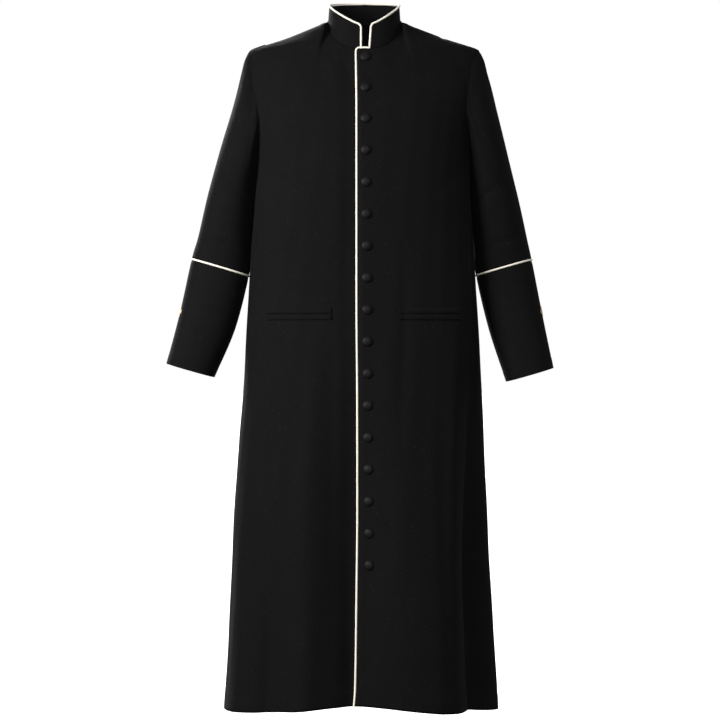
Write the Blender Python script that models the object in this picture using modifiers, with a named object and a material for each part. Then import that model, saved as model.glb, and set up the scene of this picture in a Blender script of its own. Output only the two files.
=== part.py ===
"""A man's long black cassock, filled out as if worn, with nobody inside it.

The wearer faces -Y, with their left side at +X and +Z up. The origin is the middle of the neck, level with
the points where the shoulder seams meet the collar. The tables hold millimetres, and meshes are in metres.
Turns are degrees round the body from its centre front (0) past the wearer's left side (90) to the back (180).
"""

import math
from typing import NamedTuple

import bmesh
import bpy
from mathutils import Vector

MM = 0.001

# Walls and gaps
CLOTH_WALL = 2.0
COLLAR_WALL = 3.0
SEAM_GAP = 0.4
LAYER_GAP = 1.2
NECK_SEAM_GAP = 0.6
SHOULDER_SEAM_GAP = 0.5
SHOULDER_STRIP = 1.0
SLEEVE_CLEARANCE = 2.3
PIPING_RADIUS = 2.0
PIPING_OFFSET = PIPING_RADIUS + SEAM_GAP
SEAM_STRIP = 2.0

# Neck ring and collar
NECK_MIDDLE = 4.0
NECK_HALF_WIDTH = 75.0
NECK_FRONT = 80.0
NECK_BACK = 76.0
NECK_SQUARE = 2.4
COLLAR_TOP_SCALE = 0.97
COLLAR_LEFT_END = 9.5
COLLAR_RIGHT_END = 352.5
COLLAR_LEFT_LEAN = 3.0
COLLAR_LEAN_END = 60.0
COLLAR_SINK = (10.0, 40.0)
COLLAR_CORNER = 8.0

# Front edge
OVERLAP_TOP = -63.3
OVERLAP_CORNER = 5.0
SINK_START = -52.0
SINK_END = -26.0

# Buttons
BUTTON_COUNT = 17
BUTTON_RADIUS = 10.2
BUTTON_HEIGHT = 5.6
BUTTON_TOP = -80.5
BUTTON_PITCH = 64.2
BUTTON_FIRST_X = 5.0
BUTTON_LAST_X = 13.0
BUTTON_LIFT = 0.7
BUTTON_STEPS = 14

# Pockets
POCKET_HEIGHT = -603.0
WELT_WIDTH = 11.0
WELT_SPLIT = 1.6
WELT_THICKNESS = 1.2
WELT_LIFT = 0.7
POCKET_LEFT = (73.0, 200.0)
POCKET_RIGHT = (-194.0, -62.0)

# Cuff crosses
CROSS_STATION = 8.98
CROSS_TURN = 14.0
CROSS_REACH = 10.5
CROSS_NECK = 1.8
CROSS_FLARE = 5.2
CROSS_WAIST = 0.6
CROSS_SWELL = 1.3
CROSS_THICKNESS = 1.0
CROSS_LIFT = 0.7

# Finishes: colour and roughness
CLOTH = ((0.012, 0.012, 0.013), 0.85)
BUTTON = ((0.010, 0.010, 0.011), 0.75)
PIPING = ((0.86, 0.80, 0.66), 0.5)
THREAD = ((0.62, 0.44, 0.26), 0.6)
GARMENT = "Cassock"

# How finely each piece is faceted
LOWER_ROWS = 16
UPPER_ROWS = (0.09, 0.18, 0.27, 0.36, 0.45, 0.55, 0.65, 0.75, 0.84, 0.91, 0.955, 0.992, 1.0)
COLLAR_ROWS = 3
CUFF_ROWS = 3
STRIP_STATION = 0.1
WELT_COLUMNS = 8


class BodyRow(NamedTuple):
    """One level section through the body."""

    height: float
    half_width: float
    middle: float
    front: float
    back: float
    square: float


BODY = (
    BodyRow(14.0, 74.5, 4.0, 70.0, 73.0, 2.4),
    BodyRow(2.0, 75.5, 4.0, 71.0, 80.0, 2.4),
    BodyRow(-6.0, 98.0, 4.0, 73.0, 83.0, 1.9),
    BodyRow(-30.0, 161.0, 4.0, 76.0, 89.0, 1.45),
    BodyRow(-60.0, 240.0, 4.0, 80.0, 99.0, 1.5),
    BodyRow(-80.0, 247.0, 4.0, 86.0, 105.0, 1.65),
    BodyRow(-110.0, 246.0, 4.0, 95.0, 112.0, 1.9),
    BodyRow(-150.0, 240.0, 4.0, 108.0, 120.0, 2.2),
    BodyRow(-200.0, 229.0, 3.0, 119.0, 125.0, 2.4),
    BodyRow(-256.0, 220.0, 2.0, 124.0, 125.0, 2.5),
    BodyRow(-300.0, 219.0, 2.0, 125.0, 121.0, 2.5),
    BodyRow(-356.0, 222.5, 1.0, 124.0, 116.0, 2.5),
    BodyRow(-468.0, 230.0, 0.5, 121.0, 111.0, 2.5),
    BodyRow(-551.0, 235.3, 0.0, 122.0, 114.0, 2.5),
    BodyRow(-607.0, 238.5, 0.0, 125.0, 119.0, 2.5),
    BodyRow(-716.0, 244.0, 0.5, 131.0, 129.0, 2.45),
    BodyRow(-856.0, 252.5, -1.5, 138.0, 140.0, 2.4),
    BodyRow(-990.0, 260.5, -3.5, 143.0, 149.0, 2.4),
    BodyRow(-1130.0, 266.5, -4.5, 147.0, 156.0, 2.35),
    BodyRow(-1270.0, 273.0, -4.0, 151.0, 163.0, 2.3),
    BodyRow(-1420.0, 281.5, -4.5, 155.0, 170.0, 2.3),
)


class HemRow(NamedTuple):
    """How high the hem hangs at one turn."""

    turn: float
    height: float


HEM = (
    HemRow(-180.0, -1413.0),
    HemRow(-90.0, -1413.0),
    HemRow(-40.0, -1405.0),
    HemRow(-2.0, -1391.0),
    HemRow(38.0, -1406.0),
    HemRow(90.0, -1413.0),
    HemRow(180.0, -1413.0),
)


class FrontEdgeRow(NamedTuple):
    """Where the left front's edge piping runs at one height, and how far the right front reaches behind it."""

    height: float
    piping_x: float
    underlap: float


FRONT_EDGE = (
    FrontEdgeRow(-1400.0, -18.5, 38.0),
    FrontEdgeRow(-1355.0, -15.0, 38.0),
    FrontEdgeRow(-1190.0, -12.4, 38.0),
    FrontEdgeRow(-985.0, -10.4, 38.0),
    FrontEdgeRow(-780.0, -10.6, 38.0),
    FrontEdgeRow(-570.0, -12.0, 38.0),
    FrontEdgeRow(-200.0, -12.0, 38.0),
    FrontEdgeRow(-60.0, -13.6, 18.0),
)


class CollarRow(NamedTuple):
    """The collar's lower and upper edge at one turn from the centre front, the same on both sides."""

    turn: float
    base: float
    top: float


COLLAR = (
    CollarRow(0.0, -62.5, -18.0),
    CollarRow(16.0, -61.5, -11.0),
    CollarRow(30.0, -56.5, -1.5),
    CollarRow(50.0, -40.0, 14.0),
    CollarRow(70.0, -19.0, 27.5),
    CollarRow(90.0, 2.0, 35.0),
    CollarRow(120.0, 8.0, 44.0),
    CollarRow(150.0, 9.0, 50.0),
    CollarRow(180.0, 9.0, 52.0),
)


class ArmholeRow(NamedTuple):
    """How far the armhole's edge lies from the body's middle at one height, on each panel that it crosses."""

    height: float
    front_left: float
    front_right: float
    back: float


ARMHOLE = (
    ArmholeRow(-256.0, 220.0, 220.0, 220.0),
    ArmholeRow(-242.0, 217.0, 216.0, 219.5),
    ArmholeRow(-219.0, 213.0, 213.0, 219.0),
    ArmholeRow(-180.0, 209.0, 217.0, 220.0),
    ArmholeRow(-137.0, 212.0, 228.0, 223.0),
    ArmholeRow(-106.0, 217.0, 232.0, 228.0),
    ArmholeRow(-76.0, 225.0, 234.0, 233.0),
    ArmholeRow(-60.0, 240.0, 240.0, 240.0),
)
UNDERARM = ARMHOLE[0].height
SHOULDER_TIP = ARMHOLE[-1].height
BODY_TIP = ARMHOLE[-1].back
EDGE_FADE = 12
RIM_FADE = 3
NECK_FADE = 9
SIDE = 90.0


class PanelColumn(NamedTuple):
    """Where one column of a body panel stands: its share of the way round to the side seam below the armhole,
    and at its top either its turn round the neck or its share of the way along the shoulder seam."""

    share: float
    neck_turn: float
    seam_share: float


FRONT_COLUMNS = (
    PanelColumn(0.000, 0.0, 0.0),
    PanelColumn(0.035, 1.0, 0.0),
    PanelColumn(0.070, COLLAR_LEFT_END, 0.0),
    PanelColumn(0.11, 22.0, 0.0),
    PanelColumn(0.165, 36.0, 0.0),
    PanelColumn(0.23, 50.0, 0.0),
    PanelColumn(0.305, 64.0, 0.0),
    PanelColumn(0.38, 77.0, 0.0),
    PanelColumn(0.46, 90.0, 0.0),
    PanelColumn(0.56, 90.0, 0.18),
    PanelColumn(0.66, 90.0, 0.38),
    PanelColumn(0.77, 90.0, 0.60),
    PanelColumn(0.89, 90.0, 0.82),
    PanelColumn(0.99, 90.0, 0.985),
    PanelColumn(1.00, 90.0, 1.0),
)
BACK_COLUMNS = (
    PanelColumn(0.00, 180.0, 0.0),
    PanelColumn(0.09, 160.0, 0.0),
    PanelColumn(0.18, 141.0, 0.0),
    PanelColumn(0.27, 123.0, 0.0),
    PanelColumn(0.35, 106.0, 0.0),
    PanelColumn(0.43, 90.0, 0.0),
    PanelColumn(0.54, 90.0, 0.18),
    PanelColumn(0.65, 90.0, 0.38),
    PanelColumn(0.77, 90.0, 0.60),
    PanelColumn(0.89, 90.0, 0.82),
    PanelColumn(0.99, 90.0, 0.985),
    PanelColumn(1.00, 90.0, 1.0),
)


class FoldRow(NamedTuple):
    """A long soft fold: it starts at one height, is full at a lower one, and stands out (+) or in (-)."""

    start: float
    full: float
    turn_start: float
    turn_hem: float
    half_spread: float
    depth: float


FOLDS = (
    FoldRow(-820.0, -1250.0, 3.0, 1.0, 14.0, -11.0),
    FoldRow(-780.0, -1300.0, 24.0, 26.0, 20.0, 12.0),
    FoldRow(-700.0, -1200.0, 54.0, 50.0, 22.0, -20.0),
    FoldRow(-900.0, -1400.0, 82.0, 80.0, 16.0, 5.0),
    FoldRow(-950.0, -1350.0, -20.0, -18.0, 17.0, 5.0),
    FoldRow(-1050.0, -1400.0, -38.0, -36.0, 12.0, -6.0),
    FoldRow(-900.0, -1400.0, -58.0, -60.0, 20.0, 7.0),
    FoldRow(-420.0, -640.0, -128.0, -126.0, 24.0, -6.0),
    FoldRow(-640.0, -1300.0, -156.0, -152.0, 18.0, 13.0),
    FoldRow(-700.0, -1250.0, 178.0, 176.0, 15.0, -14.0),
    FoldRow(-660.0, -1350.0, 150.0, 147.0, 19.0, 15.0),
    FoldRow(-760.0, -1300.0, 122.0, 118.0, 15.0, -13.0),
)


class SleeveRow(NamedTuple):
    """One slanted section of a sleeve: its outer and inner points seen from the front, and its depth."""

    outer_x: float
    outer_height: float
    inner_x: float
    inner_height: float
    middle_y: float
    half_depth: float
    armhole_share: float


SLEEVE_LEFT = (
    SleeveRow(244.0, -60.0, 222.6, -256.0, 0.0, 60.0, 1.0),
    SleeveRow(251.0, -76.0, 223.2, -264.0, 0.0, 62.0, 0.85),
    SleeveRow(258.5, -102.0, 223.4, -277.0, 2.0, 66.0, 0.62),
    SleeveRow(269.0, -140.0, 223.5, -292.0, 6.0, 71.0, 0.38),
    SleeveRow(282.0, -190.0, 223.4, -314.0, 12.0, 75.0, 0.15),
    SleeveRow(297.0, -268.0, 224.8, -350.0, 20.0, 76.0, 0.0),
    SleeveRow(316.0, -354.0, 228.0, -403.0, 26.0, 72.0, 0.0),
    SleeveRow(336.0, -437.0, 232.6, -473.0, 27.0, 64.0, 0.0),
    SleeveRow(349.0, -487.0, 236.6, -520.0, 24.0, 57.0, 0.0),
    SleeveRow(372.0, -597.0, 263.0, -633.0, 12.0, 53.0, 0.0),
    SleeveRow(394.0, -712.0, 298.0, -740.0, -2.0, 50.0, 0.0),
)
SLEEVE_RIGHT = (
    SleeveRow(236.0, -60.0, 218.6, -256.0, 0.0, 60.0, 1.0),
    SleeveRow(243.0, -76.0, 219.2, -264.0, 0.0, 62.0, 0.85),
    SleeveRow(250.5, -102.0, 219.4, -277.0, 2.0, 66.0, 0.62),
    SleeveRow(259.5, -140.0, 219.8, -292.0, 6.0, 71.0, 0.38),
    SleeveRow(272.0, -190.0, 219.8, -314.0, 12.0, 75.0, 0.15),
    SleeveRow(289.0, -266.0, 221.8, -350.0, 20.0, 76.0, 0.0),
    SleeveRow(311.0, -350.0, 226.2, -403.0, 26.0, 72.0, 0.0),
    SleeveRow(335.0, -434.0, 231.6, -473.0, 27.0, 64.0, 0.0),
    SleeveRow(352.0, -486.0, 236.4, -521.0, 24.0, 57.0, 0.0),
    SleeveRow(378.0, -597.0, 265.0, -633.0, 12.0, 53.0, 0.0),
    SleeveRow(404.0, -703.0, 307.0, -731.0, -2.0, 50.0, 0.0),
)
SLEEVE_SQUARE = 2.3
CAP_SHARES = (0.6, 1.0)
UNDERARM_SHARES = (0.3, 0.65)
RIM_STEP_TURN = 4.0
RIM_STEP_HEIGHT = 12.0
CUFF_SEAM = 8.0
CUFF_END = 10.0
CUFF_SEGMENT = 113.0
CUFF_RADIUS = 54.0


def even_shares(count, low=0.0, high=1.0):
    """Evenly spaced shares from low to high."""
    return [low + (high - low) * index / (count - 1) for index in range(count)]


def smooth_step(low, high, value):
    """Rise smoothly from 0 at low to 1 at high."""
    share = min(1.0, max(0.0, (value - low) / (high - low)))
    return share * share * (3.0 - 2.0 * share)


def read_table(table, key, column, at):
    """Read one column of a table at a value of its key column, along a smooth curve with no overshoot."""
    rows = sorted(table, key=lambda row: getattr(row, key))
    keys = [getattr(row, key) for row in rows]
    values = [getattr(row, column) for row in rows]
    at = min(keys[-1], max(keys[0], at))
    index = max(i for i in range(len(keys) - 1) if keys[i] <= at)
    slopes = [(values[i + 1] - values[i]) / (keys[i + 1] - keys[i]) for i in range(len(keys) - 1)]

    def tangent(knot):
        if knot == 0 or knot == len(keys) - 1:
            return slopes[min(knot, len(slopes) - 1)]
        before, after = slopes[knot - 1], slopes[knot]
        if before * after <= 0.0:
            return 0.0
        return 2.0 * before * after / (before + after)

    span = keys[index + 1] - keys[index]
    t = (at - keys[index]) / span
    rise = values[index + 1] - values[index]
    start, end = tangent(index) * span, tangent(index + 1) * span
    return values[index] + t * (start + t * (3 * rise - 2 * start - end + t * (start + end - 2 * rise)))


def power(value, exponent):
    """Raise the size of a number to a power and keep its sign."""
    return math.copysign(abs(value) ** exponent, value)


def fold_depth(turn, height):
    """How far the folds push the body's cloth out at one place."""
    total = 0.0
    for fold in FOLDS:
        if height >= fold.start:
            continue
        run = (fold.start - height) / (fold.start - HEM[0].height)
        centre = fold.turn_start + (fold.turn_hem - fold.turn_start) * run
        away = abs((turn - centre + 180.0) % 360.0 - 180.0) / fold.half_spread
        if away < 1.0:
            reach = smooth_step(-fold.start, -fold.full, -height)
            total += fold.depth * reach * (0.5 + 0.5 * math.cos(math.pi * away))
    return total


def body_point(turn, height):
    """A point on the body's outer surface, and the level direction that faces out there."""
    half_width, middle, front, back, square = (
        read_table(BODY, "height", column, height)
        for column in ("half_width", "middle", "front", "back", "square")
    )
    across, along = math.sin(math.radians(turn)), math.cos(math.radians(turn))
    depth = front if along > 0.0 else back
    steep = 2.0 - 2.0 / square
    facing = Vector((power(across, steep) / half_width, -power(along, steep) / depth, 0.0))
    facing.normalize()
    x = middle + half_width * power(across, 2.0 / square)
    point = Vector((x, -depth * power(along, 2.0 / square), height))
    return point + facing * fold_depth(turn, height), facing


def front_place(x, height, lift):
    """A point lifted off the left front's surface, and the direction that the cloth faces there."""
    turn = turn_at(x, height)
    across = body_point(turn + 1.5, height)[0] - body_point(turn - 1.5, height)[0]
    up = body_point(turn, height + 8.0)[0] - body_point(turn, height - 8.0)[0]
    facing = across.cross(up).normalized()
    return body_point(turn, height)[0] + facing * lift, facing


def turn_at(x, height):
    """The turn, on the front, at which the body's surface has this x at this height."""
    half_width = read_table(BODY, "height", "half_width", height)
    middle = read_table(BODY, "height", "middle", height)
    square = read_table(BODY, "height", "square", height)
    share = max(-1.0, min(1.0, (x - middle) / half_width))
    return math.degrees(math.asin(power(share, square / 2.0)))


def hem_height(turn):
    """The height of the hem at one turn."""
    return read_table(HEM, "turn", "height", (turn + 180.0) % 360.0 - 180.0)


def sink(x):
    """How far the right front lies behind the left one, where they overlap."""
    return (CLOTH_WALL + LAYER_GAP) * smooth_step(SINK_START, SINK_END, x)


def neck_point(turn, height, scale=1.0):
    """A point on the neck ring at one turn."""
    across, along = math.sin(math.radians(turn)), math.cos(math.radians(turn))
    round_out = (abs(across) ** NECK_SQUARE + abs(along) ** NECK_SQUARE) ** (-1.0 / NECK_SQUARE) * scale
    depth = NECK_FRONT if along > 0.0 else NECK_BACK
    return Vector((NECK_MIDDLE + NECK_HALF_WIDTH * round_out * across, -depth * round_out * along, height))


def collar_height(turn, column):
    """The collar's base or top height at one turn."""
    return read_table(COLLAR, "turn", column, abs((turn + 180.0) % 360.0 - 180.0))


def collar_point(turn, height):
    """A point on the collar's outer surface. Its right end lies behind the overlap, as the right front does."""
    base, top = collar_height(turn, "base"), collar_height(turn, "top")
    rise = (height - base) / (top - base)
    signed = (turn + 180.0) % 360.0 - 180.0
    if signed > 0.0:
        turn += COLLAR_LEFT_LEAN * rise * (1.0 - smooth_step(0.0, COLLAR_LEAN_END, signed))
    point = neck_point(turn, height, 1.0 + (COLLAR_TOP_SCALE - 1.0) * rise)
    if signed < 0.0:
        outward = Vector((point.x - NECK_MIDDLE, point.y, 0.0)).normalized()
        point -= outward * (CLOTH_WALL + LAYER_GAP) * (1.0 - smooth_step(*COLLAR_SINK, -signed))
    return point


def neck_turns(collar_end):
    """The turns of the panels' columns round the neck, from the collar's end to the centre back."""
    columns = FRONT_COLUMNS + BACK_COLUMNS[::-1]
    return [collar_end] + sorted({row.neck_turn for row in columns if row.neck_turn > COLLAR_LEFT_END})


def collar_base(turn):
    """The height of the collar's lower edge, which runs straight between the panels' columns."""
    signed = (turn + 180.0) % 360.0 - 180.0
    knots = neck_turns(COLLAR_LEFT_END if signed > 0.0 else 360.0 - COLLAR_RIGHT_END)
    at = min(180.0, max(knots[0], abs(signed)))
    after = next(knot for knot in knots[1:] if knot >= at)
    before = knots[knots.index(after) - 1]
    low, high = collar_height(before, "base"), collar_height(after, "base")
    return low + (high - low) * (at - before) / (after - before)


def collar_outline(offset):
    """The collar's outline as (turn, height) pairs: up its left end, round the top, and down its right end."""
    degree = math.radians(1.0) * NECK_HALF_WIDTH
    reach = COLLAR_CORNER + offset
    outline = []
    for end, towards in ((COLLAR_LEFT_END, 1.0), (COLLAR_RIGHT_END, -1.0)):
        centre_turn = end + towards * COLLAR_CORNER / degree
        centre_height = collar_height(centre_turn, "top") - COLLAR_CORNER
        corner = []
        for angle in (0.0, 22.5, 45.0, 67.5, 90.0):
            turn = centre_turn - towards * reach * math.cos(math.radians(angle)) / degree
            corner.append((turn, centre_height + reach * math.sin(math.radians(angle))))
        outline.append(corner)
    left, right = outline
    first, last = left[-1][0], right[-1][0]
    turns = neck_turns(COLLAR_LEFT_END)[1:]
    turns += [360.0 - turn for turn in turns[-2::-1]]
    top = []
    for turn in turns:
        if first < turn < last:
            slope = (collar_height(turn + 1.0, "top") - collar_height(turn - 1.0, "top")) / 2.0 / degree
            top.append((turn, collar_height(turn, "top") + offset * math.hypot(1.0, slope)))
    return left + top + right[::-1]


def neckline_height(turn, collar_end):
    """The height of a panel's neckline, which dips under the piping in front of the collar's end."""
    return OVERLAP_TOP if turn <= collar_end else collar_height(turn, "base") - NECK_SEAM_GAP


def ridge_height(reach):
    """The height at which the body is this half width, on its sloping shoulders."""
    low, high = SHOULDER_TIP, collar_height(90.0, "base")
    for _ in range(30):
        middle = (low + high) / 2
        if read_table(BODY, "height", "half_width", middle) > reach:
            low = middle
        else:
            high = middle
    return (low + high) / 2


def armhole_place(panel, share):
    """The turn (0 to 90) and height of the armhole's edge, from the underarm (0) to the shoulder tip (1)."""
    height = UNDERARM + (SHOULDER_TIP - UNDERARM) * smooth_step(0.0, 1.0, share)
    if share <= 0.0 or share >= 1.0:
        return 90.0, height
    reach = read_table(ARMHOLE, "height", panel, height) / read_table(BODY, "height", "half_width", height)
    square = read_table(BODY, "height", "square", height)
    return math.degrees(math.asin(min(1.0, reach) ** (square / 2))), height


def front_edge_x(side, height):
    """Where a front panel's inner edge runs. The left one is rounded off at the overlap's top corner."""
    x = read_table(FRONT_EDGE, "height", "piping_x", height) + PIPING_OFFSET
    if side < 0:
        return x + read_table(FRONT_EDGE, "height", "underlap", height)
    rise = min(1.0, max(0.0, (height - OVERLAP_TOP + OVERLAP_CORNER) / OVERLAP_CORNER))
    return x + OVERLAP_CORNER * (1.0 - math.sqrt(1.0 - rise * rise))


def panel_top(column, side, front):
    """The top of a panel's column: its point, and the body's own point at the same x and height."""
    if column.neck_turn == SIDE:
        height = collar_height(SIDE, "base") - NECK_SEAM_GAP
        reach = NECK_HALF_WIDTH + (BODY_TIP - NECK_HALF_WIDTH) * column.seam_share
        if column.seam_share > 0.0:
            height = ridge_height(reach)
        point = Vector((NECK_MIDDLE + side * reach, 0.0, height))
        return point, point
    collar_end = COLLAR_LEFT_END if side > 0 else 360.0 - COLLAR_RIGHT_END
    turn = collar_end if column.neck_turn == COLLAR_LEFT_END else column.neck_turn
    point = neck_point(side * turn, neckline_height(turn, collar_end))
    if turn == 0.0:
        point.x = front_edge_x(side, OVERLAP_TOP)
    base_turn = turn_at(point.x, point.z)
    base, _ = body_point(base_turn if front else 180.0 - base_turn, point.z)
    return point, base


def lower_point(place, share, side, front):
    """A point on a panel's outer surface, at a share of the way up from the hem to the underarm."""
    edge_height = hem_height(0.0) + (UNDERARM - hem_height(0.0)) * share
    inner = turn_at(front_edge_x(side, edge_height), edge_height) if front else 180.0
    outer = SIDE * side if front else 180.0 - SIDE * side
    turn = inner + (outer - inner) * place.share
    return body_point(turn, hem_height(turn) + (UNDERARM - hem_height(turn)) * share)


def upper_point(columns, place, share, side, front):
    """A point on a panel's outer surface, at a share of the way up from the underarm to its top."""
    crowding = (min(place.neck_turn, 180.0 - place.neck_turn) / SIDE) ** 2
    rise = share + (smooth_step(0.0, 1.0, share) - share) * crowding
    (low, _), (top, base) = lower_point(place, 1.0, side, front), panel_top(place, side, front)
    height = UNDERARM + (top.z - UNDERARM) * rise
    x = low.x + (top.x - low.x) * rise
    if front:
        edge_low = front_edge_x(side, UNDERARM)
        edge_top, _ = panel_top(columns[0], side, front)
        edge_height = UNDERARM + (edge_top.z - UNDERARM) * share
        bend = front_edge_x(side, edge_height) - (edge_low + (edge_top.x - edge_low) * share)
        x += bend * (1.0 - place.share) ** EDGE_FADE
    panel = ("front_left" if side > 0 else "front_right") if front else "back"
    rim_turn, rim_height = armhole_place(panel, share)
    rim, _ = body_point(side * rim_turn, rim_height)
    seam, _ = body_point(SIDE * side, UNDERARM)
    straight = seam.x + (NECK_MIDDLE + side * BODY_TIP - seam.x) * smooth_step(0.0, 1.0, share)
    x += (rim.x - straight) * place.share**RIM_FADE
    if place.neck_turn == SIDE and share >= UPPER_ROWS[-2]:
        strip = 0.0 if share == 1.0 else SHOULDER_STRIP
        away = -SHOULDER_SEAM_GAP / 2 - strip if front else SHOULDER_SEAM_GAP / 2 + strip
        return Vector((top.x, away, top.z)), Vector((side, 0.0, 0.0))
    turn = turn_at(x, height)
    point, facing = body_point(turn if front else 180.0 - turn, height)
    return point + (top - base) * rise**NECK_FADE, facing


def panel_point(columns, column, row, side, front):
    """A point on a body panel's outer surface. Rows count up from the hem to the panel's top."""
    place = columns[column]
    if row < LOWER_ROWS:
        point, facing = lower_point(place, row / (LOWER_ROWS - 1), side, front)
    else:
        point, facing = upper_point(columns, place, UPPER_ROWS[row - LOWER_ROWS], side, front)
    if front and side < 0:
        point = point - facing * sink(point.x)
    half_gap = SHOULDER_SEAM_GAP / 2
    away = min(point.y, -half_gap) if front else max(point.y, half_gap)
    return Vector((point.x, away, point.z))


def armhole_edge(side, share, front):
    """A point on the edge that a panel's last column makes, which runs straight between its rows."""
    columns = FRONT_COLUMNS if front else BACK_COLUMNS
    shares = (0.0,) + UPPER_ROWS
    index = min(len(shares) - 2, max(i for i, start in enumerate(shares) if start <= share))
    first = LOWER_ROWS - 1 + index
    low, high = (panel_point(columns, len(columns) - 1, row, side, front) for row in (first, first + 1))
    return low.lerp(high, (share - shares[index]) / (shares[index + 1] - shares[index]))


def sleeve_row(table, station):
    """A sleeve's section at a station, which counts the table's rows from 0 and may lie between them."""
    index = min(len(table) - 2, int(station))
    part = station - index
    values = []
    for column in range(len(SleeveRow._fields)):
        knots = [table[min(len(table) - 1, max(0, index + k))][column] for k in (-1, 0, 1, 2)]
        start, end = (knots[2] - knots[0]) / 2, (knots[3] - knots[1]) / 2
        rise = knots[2] - knots[1]
        bend = 3 * rise - 2 * start - end + part * (start + end - 2 * rise)
        values.append(knots[1] + part * (start + part * bend))
    return SleeveRow(*values)


def sleeve_section(table, side, station, turn):
    """A point on a sleeve's plain section. turn is 0 at its outer side, 90 at the front and 180 at the body."""
    row = sleeve_row(table, station)
    across = power(math.cos(math.radians(turn)), 2.0 / SLEEVE_SQUARE)
    along = power(math.sin(math.radians(turn)), 2.0 / SLEEVE_SQUARE)
    x = (row.outer_x + row.inner_x) / 2 + (row.outer_x - row.inner_x) / 2 * across
    height = (row.outer_height + row.inner_height) / 2 + (row.outer_height - row.inner_height) / 2 * across
    return Vector((side * x, row.middle_y - row.half_depth * along, height))


def armhole_rim(side, turn):
    """A point on the armhole's edge, the way out of the panel there, and the way that the panel faces."""
    share = 1.0 - abs((turn + 180.0) % 360.0 - 180.0) / 180.0
    front = 0.0 <= turn % 360.0 <= 180.0
    panel = ("front_left" if side > 0 else "front_right") if front else "back"
    rim_turn, height = armhole_place(panel, share)
    if not front:
        rim_turn = 180.0 - rim_turn
    point, facing = body_point(side * rim_turn, height)
    high = smooth_step(*CAP_SHARES, share)
    inward = RIM_STEP_TURN * (1.0 - high) * (-1.0 if front else 1.0)
    inside, _ = body_point(side * (rim_turn + inward), height + RIM_STEP_HEIGHT * high)
    return armhole_edge(side, share, front), (point - inside).normalized(), facing


def sleeve_point(side, station, turn, lift=0.0):
    """A point on a sleeve's outer surface, which leaves the armhole's edge for its own section."""
    table = SLEEVE_LEFT if side > 0 else SLEEVE_RIGHT
    point = sleeve_section(table, side, station, turn)
    share = max(0.0, sleeve_row(table, station).armhole_share)
    if share > 0.0:
        rim, way_out, facing = armhole_rim(side, turn)
        low = smooth_step(*UNDERARM_SHARES, abs((turn + 180.0) % 360.0 - 180.0) / 180.0)
        away = SEAM_GAP + SEAM_STRIP * min(1.0, station / STRIP_STATION)
        start = rim + way_out * away * (1.0 - low) + facing * SLEEVE_CLEARANCE * low
        point += (start - sleeve_section(table, side, 0.0, turn)) * share
    if lift:
        around = sleeve_point(side, station, turn + 2.0) - sleeve_point(side, station, turn - 2.0)
        down = sleeve_point(side, station + 0.05, turn) - sleeve_point(side, station - 0.05, turn)
        point += side * around.cross(down).normalized() * lift
    return point


def make_material(name, colour, roughness):
    """Make one piece's own finish."""
    material = bpy.data.materials.new(name)
    material.use_nodes = True
    shader = material.node_tree.nodes["Principled BSDF"]
    shader.inputs["Base Color"].default_value = (*colour, 1.0)
    shader.inputs["Roughness"].default_value = roughness
    shader.inputs["Metallic"].default_value = 0.0
    return material


def place(obj, finish):
    """Put an object in the garment's collection with a finish of its own."""
    bpy.data.collections[GARMENT].objects.link(obj)
    obj.data.materials.append(make_material(obj.name, *finish))
    return obj


def cloth_sheet(name, finish, shares, rows, point, wall, flip=False, tube=False):
    """Make a walled piece of cloth: a grid laid on point(share, row), thickened to its inner side."""
    shell = bmesh.new()
    bmesh.ops.create_grid(shell, x_segments=len(shares) - 1, y_segments=rows - 1, size=0.5)
    for vertex in shell.verts:
        share = shares[round((vertex.co.x + 0.5) * (len(shares) - 1))]
        row = round((vertex.co.y + 0.5) * (rows - 1))
        vertex.co = point(share, row) * MM
    if tube:
        bmesh.ops.remove_doubles(shell, verts=shell.verts, dist=1e-6)
    if flip:
        bmesh.ops.reverse_faces(shell, faces=shell.faces)
    mesh = bpy.data.meshes.new(name)
    shell.to_mesh(mesh)
    shell.free()
    mesh.shade_smooth()
    obj = place(bpy.data.objects.new(name, mesh), finish)
    solidify = obj.modifiers.new("Cloth wall", "SOLIDIFY")
    solidify.thickness = abs(wall) * MM
    solidify.offset = -1.0 if wall > 0.0 else 1.0
    return obj


def make_body():
    """Make the two fronts and the back."""
    rows = LOWER_ROWS + len(UPPER_ROWS)
    columns = list(range(len(FRONT_COLUMNS)))
    for side, name in ((1, "front_left"), (-1, "front_right")):

        def front(column, row, side=side):
            return panel_point(FRONT_COLUMNS, column, row, side, front=True)

        cloth_sheet(name, CLOTH, columns, rows, front, CLOTH_WALL, flip=side < 0)

    def back(column, row):
        return panel_point(BACK_COLUMNS, abs(column), row, -1 if column < 0 else 1, front=False)

    last = len(BACK_COLUMNS) - 1
    cloth_sheet("back", CLOTH, list(range(-last, last + 1)), rows, back, CLOTH_WALL, flip=True)


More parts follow.
